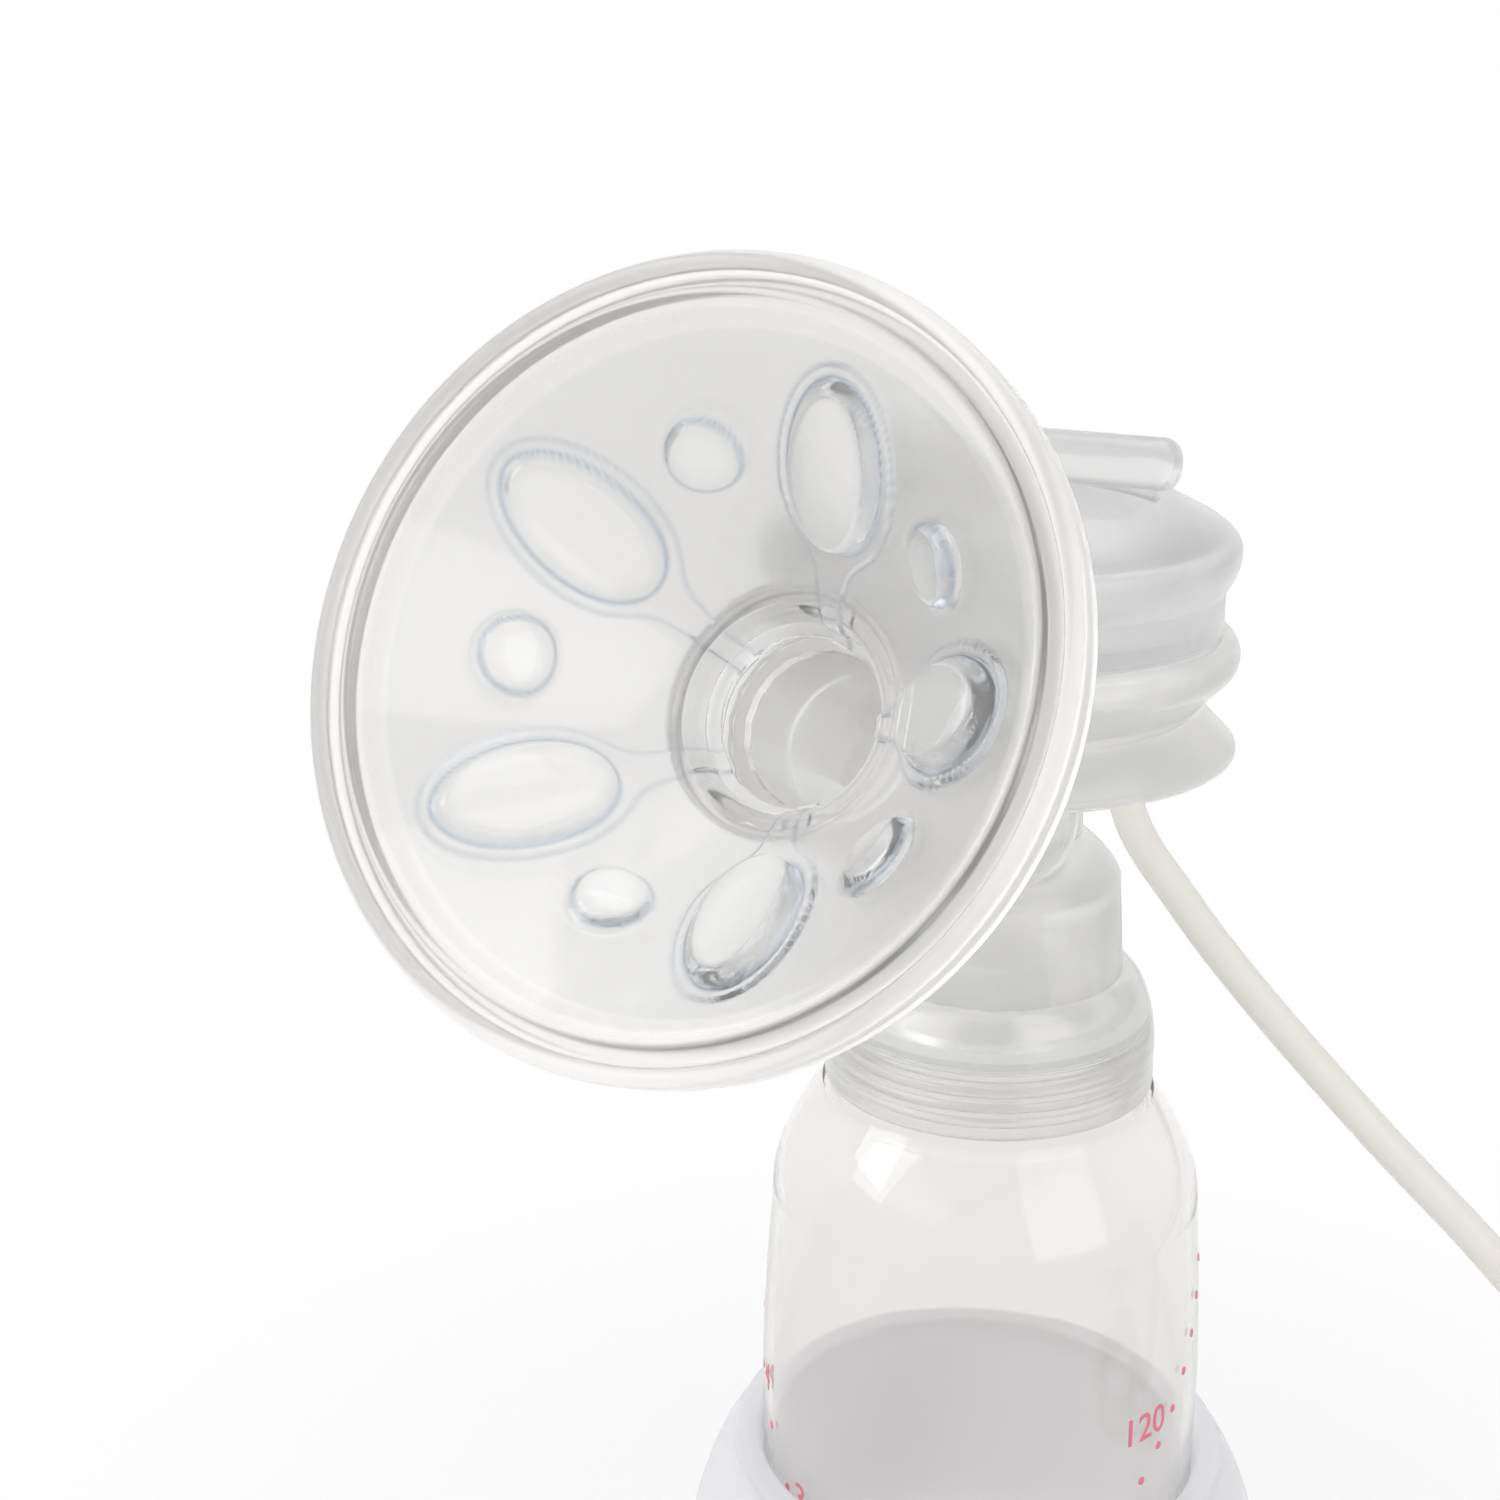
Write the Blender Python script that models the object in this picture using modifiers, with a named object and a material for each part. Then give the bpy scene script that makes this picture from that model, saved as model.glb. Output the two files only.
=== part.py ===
"""Collection kit of an electric breast pump, standing on its bottle stand.

Metres, +Z up. The origin is the middle of the stand's underside, on the bottle's axis.
The breast shield points to -Y and up, and the suction hose leaves at the back (+Y).
"""
import math

import bmesh
import bpy
from mathutils import Matrix, Vector

MM = 0.001

# Clearances and mesh fineness
GAP = 0.3 * MM
THREAD_ROOM = 0.7 * MM
SIDES = 40
FINE_SIDES = 48
CUT_PAST = 5.0 * MM

# Bottle stand
STAND_HEIGHT = 37.2 * MM
STAND_BASE_RADIUS = 42.6 * MM
STAND_WALL = 1.8 * MM
STAND_FLOOR = 2.0 * MM
STAND_RIM_WIDTH = 3.8 * MM
STAND_RIM_ROUND = 0.8 * MM
STAND_FLARE_WIDTH = 1.6 * MM
STAND_FLARE_DROP = 10.2 * MM

# Bottle
BOTTLE_RADIUS = 29.8 * MM
BOTTLE_TOP_RADIUS = 28.5 * MM
BOTTLE_STRAIGHT = 48.0 * MM
BOTTLE_BODY_HEIGHT = 73.0 * MM
BOTTLE_CORNER = 5.0 * MM
BOTTLE_SHOULDER_HEIGHT = 16.3 * MM
BOTTLE_SHOULDER_PULL = 6.5 * MM
BOTTLE_NECK_RADIUS = 19.0 * MM
BOTTLE_NECK_HEIGHT = 8.3 * MM
BOTTLE_WALL = 1.4 * MM

# Sealing ring on the bottle's mouth
GASKET_THICKNESS = 1.4 * MM
GASKET_WIDTH = 3.4 * MM

# Pump body: collar, neck, milk pipe and elbow
COLLAR_WALL = 1.95 * MM
COLLAR_SHOULDER = 10.6 * MM
COLLAR_STRAIGHT = 5.2 * MM
BODY_NECK_RADIUS = 17.1 * MM
BODY_NECK_TOP_RADIUS = 16.3 * MM
BODY_NECK_HEIGHT = 13.9 * MM
BODY_NECK_WALL = 1.9 * MM
BODY_CONE_HEIGHT = 4.6 * MM
BODY_CONE_RADIUS = 11.2 * MM
PIPE_RADIUS = 6.6 * MM
PIPE_BORE = 5.0 * MM
PIPE_BELOW_LEDGE = 3.5 * MM

# Tunnel of the pump body, tilted up from the bottle's axis
TUNNEL_TILT = math.radians(26.0)
TUNNEL_RISE = 1.2 * MM
TUNNEL_RADIUS = 10.8 * MM
TUNNEL_BORE = 8.8 * MM
TUNNEL_LENGTH = 57.5 * MM
ELBOW_SWELL = 0.4 * MM

# Diaphragm cup on top of the pump body: lower flange, notch and upper ring
STEM_RADIUS = 8.5 * MM
CUP_UNDERSIDE = 10.2 * MM
CUP_HEIGHT = 15.6 * MM
CUP_FLANGE_RADIUS = 29.7 * MM
CUP_FLANGE_EDGE = 1.8 * MM
CUP_NOTCH_RADIUS = 24.6 * MM
CUP_NOTCH_HEIGHT = 6.9 * MM
CUP_RING_RADIUS = 29.6 * MM
CUP_RING_HEIGHT = 5.4 * MM
CUP_BORE = 22.4 * MM
CUP_FLOOR = 3.4 * MM
CUP_FLOOR_RADIUS = 17.9 * MM
AIR_PORT = 3.2 * MM

# Diaphragm
DIAPHRAGM_RIM_HEIGHT = 2.2 * MM
DIAPHRAGM_RIM_WIDTH = 2.6 * MM
DIAPHRAGM_SKIN = 1.0 * MM
DIAPHRAGM_DEPTH = 6.5 * MM
DIAPHRAGM_FLAT_RADIUS = 15.7 * MM

# Diaphragm cap with its grip bar and hose nozzle
CAP_SKIRT_RADIUS = 27.4 * MM
CAP_SKIRT_HEIGHT = 5.2 * MM
CAP_RIM_RADIUS = 29.1 * MM
CAP_RIM_HEIGHT = 9.7 * MM
CAP_DOME_HEIGHT = 8.8 * MM
CAP_WALL = 1.8 * MM
GRIP_RADIUS = 3.2 * MM
GRIP_REACH_RIGHT = 21.8 * MM
GRIP_REACH_LEFT = 15.0 * MM
GRIP_ABOVE_DOME = 2.9 * MM
GRIP_END_ROUND = 1.6 * MM
WEB_THICKNESS = 2.6 * MM
WEB_INSET = 2.4 * MM
NOZZLE_RADIUS = 3.6 * MM
NOZZLE_TIP_RADIUS = 2.4 * MM
NOZZLE_LENGTH = 11.0 * MM
NOZZLE_TIP = 4.0 * MM
NOZZLE_TILT = math.radians(45.0)

# Duckbill valve
VALVE_WALL = 1.3 * MM
VALVE_HEIGHT = 12.0 * MM
VALVE_BELOW_PIPE = 1.4 * MM
LIP_LENGTH = 9.5 * MM
LIP_WIDTH = 10.0 * MM
LIP_THICKNESS = 1.1 * MM
LIP_SLIT = 0.5 * MM
LIP_ROUND = 0.3 * MM

# Breast shield funnel
FUNNEL_WALL = 1.6 * MM
FUNNEL_SLEEVE = 13.0 * MM
FUNNEL_THROAT_ROOM = 3.9 * MM
SEAL_THICKNESS = 1.6 * MM

# Massage pad, lying in the funnel
PAD_RADIUS = 39.9 * MM
PAD_SKIN = 2.0 * MM
PAD_RIM_WIDTH = 1.9 * MM
PAD_GROOVE_WIDTH = 2.2 * MM
PAD_GROOVE_DEPTH = 1.0 * MM
PAD_SKIRT = 4.8 * MM
PAD_BOWL_DEPTH = 24.6 * MM
PAD_HOLE_RADIUS = 12.2 * MM
PAD_SLEEVE_BORE = 10.2 * MM
PAD_SLEEVE_END_BORE = 9.2 * MM
PAD_SLEEVE_LENGTH = 7.6 * MM
PAD_FILLET = 2.8 * MM
PETALS = 5
PETAL_CENTRE_RADIUS = 24.0 * MM
PETAL_HALF_LENGTH = 11.0 * MM
PETAL_HALF_WIDTH = 6.3 * MM
PETAL_HEIGHT = 2.2 * MM
DOT_RADIUS = 4.3 * MM
DOT_HEIGHT = 2.4 * MM
DOME_ROOT = 0.9 * MM
DOME_SIDES = 16
DOME_RINGS = 8

# Suction hose, its coil, its connector and the tie round the coil
HOSE_RADIUS = 2.5 * MM
HOSE_STEPS = 44
SPLINE_STEPS = 24
COIL_RADIUS = 29.5 * MM
COIL_TURN_STEP = 6.4 * MM
COIL_LAYER_STEP = 5.6 * MM
COIL_TURNS_IN = 1.6
COIL_TURNS_OUT = 1.6
COIL_CLIMB_TURN = 0.5
COIL_TAIL = 38.0 * MM
TAIL_LEVEL = 13.0 * MM
TAIL_FALL = 19.0 * MM
COIL_POINTS_PER_TURN = 24
HOSE_LIE = 1.0 * MM
CONNECTOR_RADIUS = 3.4 * MM
CONNECTOR_LENGTH = 15.0 * MM
CONNECTOR_NOZZLE_RADIUS = 2.2 * MM
CONNECTOR_NOZZLE_LENGTH = 7.0 * MM
CONNECTOR_ROUND = 0.5 * MM
TIE_WIDTH = 6.0 * MM
TIE_THICKNESS = 0.6 * MM
TIE_TURN = 0.35

# Heights along the bottle's axis, from the stand's underside up
BOTTLE_BASE = STAND_FLOOR + GAP
SHOULDER_Z = BOTTLE_BASE + BOTTLE_BODY_HEIGHT
NECK_Z = SHOULDER_Z + BOTTLE_SHOULDER_HEIGHT
MOUTH_Z = NECK_Z + BOTTLE_NECK_HEIGHT
GASKET_Z = MOUTH_Z + GAP
LEDGE_Z = GASKET_Z + GASKET_THICKNESS + GAP
COLLAR_BOTTOM = NECK_Z + GAP
COLLAR_BORE = BOTTLE_NECK_RADIUS + THREAD_ROOM
COLLAR_RADIUS = COLLAR_BORE + COLLAR_WALL
COLLAR_TOP = COLLAR_BOTTOM + COLLAR_STRAIGHT + COLLAR_SHOULDER
BODY_NECK_TOP = COLLAR_TOP + BODY_NECK_HEIGHT
CONE_TOP = BODY_NECK_TOP + BODY_CONE_HEIGHT
ELBOW_Z = CONE_TOP + TUNNEL_RISE
CUP_BASE = ELBOW_Z + CUP_UNDERSIDE
CUP_TOP = CUP_BASE + CUP_HEIGHT
CAP_BASE = CUP_TOP + GAP
CAP_RIM_Z = CAP_BASE + CAP_RIM_HEIGHT
CAP_TOP = CAP_RIM_Z + CAP_DOME_HEIGHT
PIPE_END = LEDGE_Z - PIPE_BELOW_LEDGE
VALVE_END = PIPE_END - VALVE_BELOW_PIPE

TUNNEL_DIRECTION = Vector((0.0, -math.cos(TUNNEL_TILT), math.sin(TUNNEL_TILT)))
TUNNEL_TURN = (math.pi / 2 - TUNNEL_TILT, 0.0, 0.0)
ELBOW = Vector((0.0, 0.0, ELBOW_Z))

# Distances along the tunnel, from the elbow out to the pad's rim
THROAT_START = TUNNEL_LENGTH + SEAL_THICKNESS + 2 * GAP
PAD_HOLE = THROAT_START + FUNNEL_THROAT_ROOM + PAD_SLEEVE_LENGTH
PAD_REACH = PAD_HOLE + PAD_BOWL_DEPTH + PAD_GROOVE_DEPTH / 2

# The hose leaves the nozzle's tip downwards at the back
NOZZLE_DIRECTION = Vector((0.0, math.cos(NOZZLE_TILT), -math.sin(NOZZLE_TILT)))
NOZZLE_ROOT = Vector((0.0, CAP_RIM_RADIUS - CAP_WALL, CAP_RIM_Z))
HOSE_START = NOZZLE_ROOT + NOZZLE_DIRECTION * (NOZZLE_LENGTH + NOZZLE_TIP + GAP)
HOSE_FLOOR = HOSE_RADIUS + HOSE_LIE
COIL_START = Vector((128.0 * MM, 30.0 * MM, HOSE_FLOOR))

# Points that the hose passes between its nozzle and its coil
HOSE_ROUTE = [
    (1.5 * MM, 45.0 * MM, 139.0 * MM),
    (5.0 * MM, 40.0 * MM, 117.0 * MM),
    (14.9 * MM, 36.8 * MM, 105.5 * MM),
    (26.4 * MM, 34.9 * MM, 94.3 * MM),
    (45.4 * MM, 33.7 * MM, 77.2 * MM),
    (61.5 * MM, 33.4 * MM, 63.4 * MM),
    (80.0 * MM, 32.6 * MM, 45.0 * MM),
    (95.0 * MM, 31.6 * MM, 26.0 * MM),
    (107.0 * MM, 30.6 * MM, 11.5 * MM),
    (118.0 * MM, 30.1 * MM, 5.0 * MM),
]


def clear_scene():
    for old in list(bpy.data.objects):
        bpy.data.objects.remove(old, do_unlink=True)


def new_collection(name):
    group = bpy.data.collections.new(name)
    bpy.context.scene.collection.children.link(group)
    return group


def plastic(name, colour, roughness, alpha=1.0):
    material = bpy.data.materials.new(name)
    material.use_nodes = True
    shader = material.node_tree.nodes["Principled BSDF"]
    shader.inputs["Base Color"].default_value = (*colour, 1.0)
    shader.inputs["Roughness"].default_value = roughness
    shader.inputs["Metallic"].default_value = 0.0
    shader.inputs["Alpha"].default_value = alpha
    return material


def place(obj, group, material=None):
    for old in list(obj.users_collection):
        old.objects.unlink(obj)
    group.objects.link(obj)
    if material is not None:
        obj.data.materials.clear()
        obj.data.materials.append(material)
    if group is TOOLS:
        obj.hide_render = True
        obj.display_type = "WIRE"
    return obj


def smooth(obj, angle=35.0):
    obj.data.shade_smooth()
    obj.data.set_sharp_from_angle(angle=math.radians(angle))


def turned(name, outline, group, material=None, closed=False, sides=SIDES):
    """A profile of (radius, height) points turned about Z; its outer side runs downwards."""
    mesh = bpy.data.meshes.new(name)
    points = [(radius, 0.0, height) for radius, height in outline]
    edges = [(i, i + 1) for i in range(len(points) - 1)]
    if closed:
        edges.append((len(points) - 1, 0))
    mesh.from_pydata(points, edges, [])
    obj = bpy.data.objects.new(name, mesh)
    place(obj, group, material)
    screw = obj.modifiers.new("Turn", "SCREW")
    screw.axis = "Z"
    screw.angle = math.tau
    screw.screw_offset = 0.0
    screw.steps = sides
    screw.render_steps = sides
    screw.use_merge_vertices = True
    screw.merge_threshold = 0.00001
    screw.use_smooth_shade = True
    return obj


def shell(obj, wall):
    solidify = obj.modifiers.new("Wall", "SOLIDIFY")
    solidify.thickness = wall
    solidify.offset = -1.0
    solidify.use_even_offset = True
    return obj


def rod(name, radius, start, end, group, material=None, sides=SIDES, tip_radius=None):
    """A round bar, or a taper with tip_radius, between two points."""
    start = Vector(start)
    end = Vector(end)
    mesh = bpy.data.meshes.new(name)
    form = bmesh.new()
    bmesh.ops.create_cone(form, cap_ends=True, segments=sides, radius1=radius,
                          radius2=radius if tip_radius is None else tip_radius,
                          depth=(end - start).length)
    form.to_mesh(mesh)
    form.free()
    obj = bpy.data.objects.new(name, mesh)
    turn = Vector((0.0, 0.0, 1.0)).rotation_difference(end - start)
    obj.rotation_mode = "QUATERNION"
    obj.rotation_quaternion = turn
    obj.location = (start + end) / 2
    return place(obj, group, material)


def ball(name, radius, centre, group):
    mesh = bpy.data.meshes.new(name)
    form = bmesh.new()
    bmesh.ops.create_uvsphere(form, u_segments=SIDES // 2, v_segments=SIDES // 4, radius=radius)
    form.to_mesh(mesh)
    form.free()
    obj = bpy.data.objects.new(name, mesh)
    obj.location = centre
    return place(obj, group)


def block(name, size, centre, group, material=None):
    mesh = bpy.data.meshes.new(name)
    form = bmesh.new()
    bmesh.ops.create_cube(form, size=1.0)
    bmesh.ops.scale(form, vec=size, verts=form.verts)
    form.to_mesh(mesh)
    form.free()
    obj = bpy.data.objects.new(name, mesh)
    obj.location = centre
    return place(obj, group, material)


def combine(obj, other, how):
    step = obj.modifiers.new(other.name, "BOOLEAN")
    step.operation = how
    step.object = other
    step.solver = "EXACT"
    return obj


def bevel(obj, width, segments=2):
    step = obj.modifiers.new("Bevel", "BEVEL")
    step.width = width
    step.segments = segments
    step.limit_method = "ANGLE"
    step.angle_limit = math.radians(40.0)
    return obj


def along_tunnel(obj):
    obj.location = ELBOW
    obj.rotation_euler = TUNNEL_TURN
    return obj


def quarter(centre, radius_out, radius_up, first, last, count):
    """Points of an ellipse arc in a profile, between two angles from the outward direction."""
    points = []
    for i in range(count + 1):
        angle = math.radians(first + (last - first) * i / count)
        points.append((centre[0] + radius_out * math.cos(angle), centre[1] + radius_up * math.sin(angle)))
    return points


def arc_through(start, pull, end, count):
    """Points of a smooth bend from start to end that leaves and arrives towards pull."""
    points = []
    for i in range(count + 1):
        share = i / count
        point = start * (1 - share) ** 2 + pull * 2 * share * (1 - share) + end * share ** 2
        points.append((point.x, point.y))
    return points


def bottle_stand():
    """Flared stand: a cup for the bottle with a broad rim and a bell-shaped skirt, open underneath."""
    cup = BOTTLE_RADIUS + GAP
    cup_out = cup + STAND_WALL
    edge = STAND_RIM_ROUND
    rim_out = cup + STAND_RIM_WIDTH
    flare = Vector((STAND_BASE_RADIUS - STAND_FLARE_WIDTH, STAND_HEIGHT - STAND_FLARE_DROP))
    base = Vector((STAND_BASE_RADIUS, 0.0))
    wall = Vector((STAND_WALL, 0.0))
    inside_top = Vector((cup_out + GAP, STAND_HEIGHT - 2 * STAND_WALL))

    outline = [(0.0, STAND_FLOOR), (cup, STAND_FLOOR)]
    outline += quarter((cup + edge, STAND_HEIGHT - edge), edge, edge, 180.0, 90.0, 3)
    outline += quarter((rim_out - edge, STAND_HEIGHT - edge), edge, edge, 90.0, 0.0, 3)
    outline += arc_through(Vector((rim_out, STAND_HEIGHT - edge)), flare, base, 8)[1:]
    outline += arc_through(base - wall, flare - 2 * wall, inside_top, 8)
    outline += [(cup_out, STAND_HEIGHT - 3 * STAND_WALL), (cup_out, 0.0), (0.0, 0.0)]
    return turned("bottle_stand", outline, PARTS, STAND_PLASTIC, sides=FINE_SIDES)


def bottle():
    """Bottle with a body that narrows to the top, a round shoulder and a plain neck for the collar."""
    shoulder_end = COLLAR_RADIUS + GAP
    outline = [(BOTTLE_NECK_RADIUS, MOUTH_Z), (BOTTLE_NECK_RADIUS, NECK_Z)]
    start = Vector((shoulder_end, NECK_Z - BOTTLE_WALL / 2))
    pull = Vector((BOTTLE_TOP_RADIUS, SHOULDER_Z + BOTTLE_SHOULDER_PULL))
    end = Vector((BOTTLE_TOP_RADIUS, SHOULDER_Z))
    outline += arc_through(start, pull, end, 5)
    outline.append((BOTTLE_RADIUS, BOTTLE_BASE + BOTTLE_STRAIGHT))
    corner = (BOTTLE_RADIUS - BOTTLE_CORNER, BOTTLE_BASE + BOTTLE_CORNER)
    outline += quarter(corner, BOTTLE_CORNER, BOTTLE_CORNER, 0.0, -90.0, 4)
    outline.append((0.0, BOTTLE_BASE))
    return shell(turned("bottle", outline, PARTS, BOTTLE_PLASTIC, sides=FINE_SIDES), BOTTLE_WALL)


def collar_gasket():
    """Flat silicone ring between the bottle's mouth and the ledge inside the collar."""
    outer = COLLAR_BORE - GAP
    inner = outer - GASKET_WIDTH
    top = GASKET_Z + GASKET_THICKNESS
    outline = [(inner, top), (outer, top), (outer, GASKET_Z), (inner, GASKET_Z)]
    return turned("collar_gasket", outline, PARTS, SILICONE, closed=True)


def pump_body():
    """Collar, neck, elbow, tunnel and diaphragm cup: one moulding with a milk pipe inside."""
    ring_z = CUP_TOP - CUP_RING_HEIGHT / 2
    notch_z = CUP_BASE + CUP_NOTCH_HEIGHT
    edge = CUP_FLANGE_EDGE / 2
    outline = [(0.0, CUP_TOP), (CAP_SKIRT_RADIUS, CUP_TOP)]
    outline += quarter((CAP_SKIRT_RADIUS, ring_z), CUP_RING_RADIUS - CAP_SKIRT_RADIUS,
                       CUP_RING_HEIGHT / 2, 55.0, -35.0, 4)
    outline += [(CUP_NOTCH_RADIUS, notch_z)]
    outline += quarter((CUP_FLANGE_RADIUS - edge, CUP_BASE + edge), edge, edge, 50.0, -90.0, 4)
    outline += [(STEM_RADIUS + 2 * edge, CUP_BASE), (STEM_RADIUS, CUP_BASE - edge)]
    outline += [(STEM_RADIUS, ELBOW_Z), (BODY_CONE_RADIUS, CONE_TOP), (BODY_NECK_TOP_RADIUS, BODY_NECK_TOP)]
    shoulder = (BODY_NECK_RADIUS, COLLAR_BOTTOM + COLLAR_STRAIGHT)
    outline += quarter(shoulder, COLLAR_RADIUS - BODY_NECK_RADIUS, COLLAR_SHOULDER, 90.0, 0.0, 6)
    outline += [(COLLAR_RADIUS, COLLAR_BOTTOM), (0.0, COLLAR_BOTTOM)]
    body = turned("pump_body", outline, PARTS, BODY_PLASTIC)

    tunnel_end = ELBOW + TUNNEL_DIRECTION * TUNNEL_LENGTH
    combine(body, ball("elbow_form", TUNNEL_RADIUS + ELBOW_SWELL, ELBOW, TOOLS), "UNION")
    combine(body, rod("tunnel_form", TUNNEL_RADIUS, ELBOW, tunnel_end, TOOLS, sides=SIDES // 2), "UNION")

    neck_bore = BODY_NECK_TOP_RADIUS - BODY_NECK_WALL
    cavity = [(0.0, PIPE_END), (PIPE_RADIUS, PIPE_END), (PIPE_RADIUS, BODY_NECK_TOP - BODY_NECK_WALL)]
    cavity += [(neck_bore, BODY_NECK_TOP - 2 * BODY_NECK_WALL), (neck_bore, LEDGE_Z)]
    cavity_low = COLLAR_BOTTOM - CUT_PAST
    cavity += [(COLLAR_BORE, LEDGE_Z), (COLLAR_BORE, cavity_low), (0.0, cavity_low)]
    combine(body, turned("collar_cavity", cavity, TOOLS), "DIFFERENCE")

    bowl_high = CUP_TOP + CUT_PAST
    cup_bowl = [(0.0, bowl_high), (CUP_BORE, bowl_high), (CUP_BORE, CUP_BASE + CUP_NOTCH_HEIGHT)]
    cup_bowl += [(CUP_FLOOR_RADIUS, CUP_BASE + CUP_FLOOR), (0.0, CUP_BASE + CUP_FLOOR)]
    combine(body, turned("cup_cavity", cup_bowl, TOOLS), "DIFFERENCE")

    bore_end = tunnel_end + TUNNEL_DIRECTION * CUT_PAST
    combine(body, ball("elbow_bore", TUNNEL_BORE + ELBOW_SWELL, ELBOW, TOOLS), "DIFFERENCE")
    combine(body, rod("tunnel_bore", TUNNEL_BORE, ELBOW, bore_end, TOOLS, sides=SIDES // 2), "DIFFERENCE")
    pipe_low = Vector((0.0, 0.0, PIPE_END - CUT_PAST))
    combine(body, rod("milk_bore", PIPE_BORE, pipe_low, ELBOW, TOOLS, sides=SIDES // 2), "DIFFERENCE")
    port_top = Vector((0.0, 0.0, CUP_BASE + CUP_FLOOR + CUT_PAST))
    combine(body, rod("air_bore", AIR_PORT, ELBOW, port_top, TOOLS, sides=SIDES // 3), "DIFFERENCE")
    return body


def tunnel_seal():
    """Silicone ring that the funnel presses on the tunnel's end."""
    low = TUNNEL_LENGTH + GAP
    high = low + SEAL_THICKNESS
    outline = [(TUNNEL_BORE, high), (TUNNEL_RADIUS, high), (TUNNEL_RADIUS, low), (TUNNEL_BORE, low)]
    return along_tunnel(turned("tunnel_seal", outline, PARTS, SILICONE, closed=True, sides=SIDES // 2))


def pad_lines():
    """Radii, heights along the tunnel and slope of the bowl that the pad and the funnel share."""
    bowl_rim = PAD_RADIUS - PAD_RIM_WIDTH - PAD_GROOVE_WIDTH
    bowl_top = PAD_REACH - PAD_GROOVE_DEPTH / 2
    hole = bowl_top - PAD_BOWL_DEPTH
    slope = math.atan2(PAD_BOWL_DEPTH, bowl_rim - PAD_HOLE_RADIUS)
    return bowl_rim, bowl_top, hole, slope


def shield_funnel():
    """Rigid cone that slides over the tunnel and carries the soft pad."""
    bowl_rim, bowl_top, hole, slope = pad_lines()
    sleeve_bore = TUNNEL_RADIUS + GAP
    sleeve_out = sleeve_bore + FUNNEL_WALL
    sleeve_start = TUNNEL_LENGTH - FUNNEL_SLEEVE
    throat_bore = PAD_HOLE_RADIUS + GAP
    throat_out = throat_bore + FUNNEL_WALL
    behind = (PAD_SKIN + GAP) / math.cos(slope)
    drop = FUNNEL_WALL / math.cos(slope)
    throat_top = hole - behind - drop + FUNNEL_WALL * math.tan(slope)
    rim_radius = PAD_RADIUS - PAD_RIM_WIDTH - GAP
    rim_z = PAD_REACH - PAD_GROOVE_DEPTH - PAD_SKIN - GAP
    outline = [(throat_bore, hole - behind), (bowl_rim, bowl_top - behind), (rim_radius, rim_z)]
    outline += [(rim_radius, rim_z - FUNNEL_WALL), (bowl_rim, bowl_top - behind - drop)]
    outline += [(throat_out, throat_top), (throat_out, THROAT_START)]
    outline += [(sleeve_out, THROAT_START - FUNNEL_WALL), (sleeve_out, sleeve_start)]
    outline += [(sleeve_bore, sleeve_start), (sleeve_bore, THROAT_START), (throat_bore, THROAT_START)]
    return along_tunnel(turned("shield_funnel", outline, PARTS, BODY_PLASTIC, closed=True, sides=FINE_SIDES))


def dome(form, turn, half_length, half_width, height):
    """One raised dome on the pad's bowl, its root sunk into the skin."""
    bowl_rim, bowl_top, hole, slope = pad_lines()
    rise = (PETAL_CENTRE_RADIUS - PAD_HOLE_RADIUS) * math.tan(slope)
    centre = Vector((PETAL_CENTRE_RADIUS, 0.0, hole + rise))
    made = bmesh.new()
    bmesh.ops.create_uvsphere(made, u_segments=DOME_SIDES, v_segments=DOME_RINGS, radius=1.0)
    bmesh.ops.scale(made, vec=(half_length, half_width, height), verts=made.verts)
    geometry = made.verts[:] + made.edges[:] + made.faces[:]
    cut = bmesh.ops.bisect_plane(made, geom=geometry, plane_co=(0.0, 0.0, -DOME_ROOT),
                                 plane_no=(0.0, 0.0, -1.0), clear_outer=True)
    edges = [item for item in cut["geom_cut"] if isinstance(item, bmesh.types.BMEdge)]
    bmesh.ops.contextual_create(made, geom=edges)
    lean = Matrix.Rotation(-slope, 4, "Y")
    spin = Matrix.Rotation(turn, 4, "Z")
    bmesh.ops.transform(made, matrix=spin @ Matrix.Translation(centre) @ lean, verts=made.verts)
    bmesh.ops.recalc_face_normals(made, faces=made.faces)
    piece = bpy.data.meshes.new("dome")
    made.to_mesh(piece)
    made.free()
    form.from_mesh(piece)
    bpy.data.meshes.remove(piece)


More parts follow.
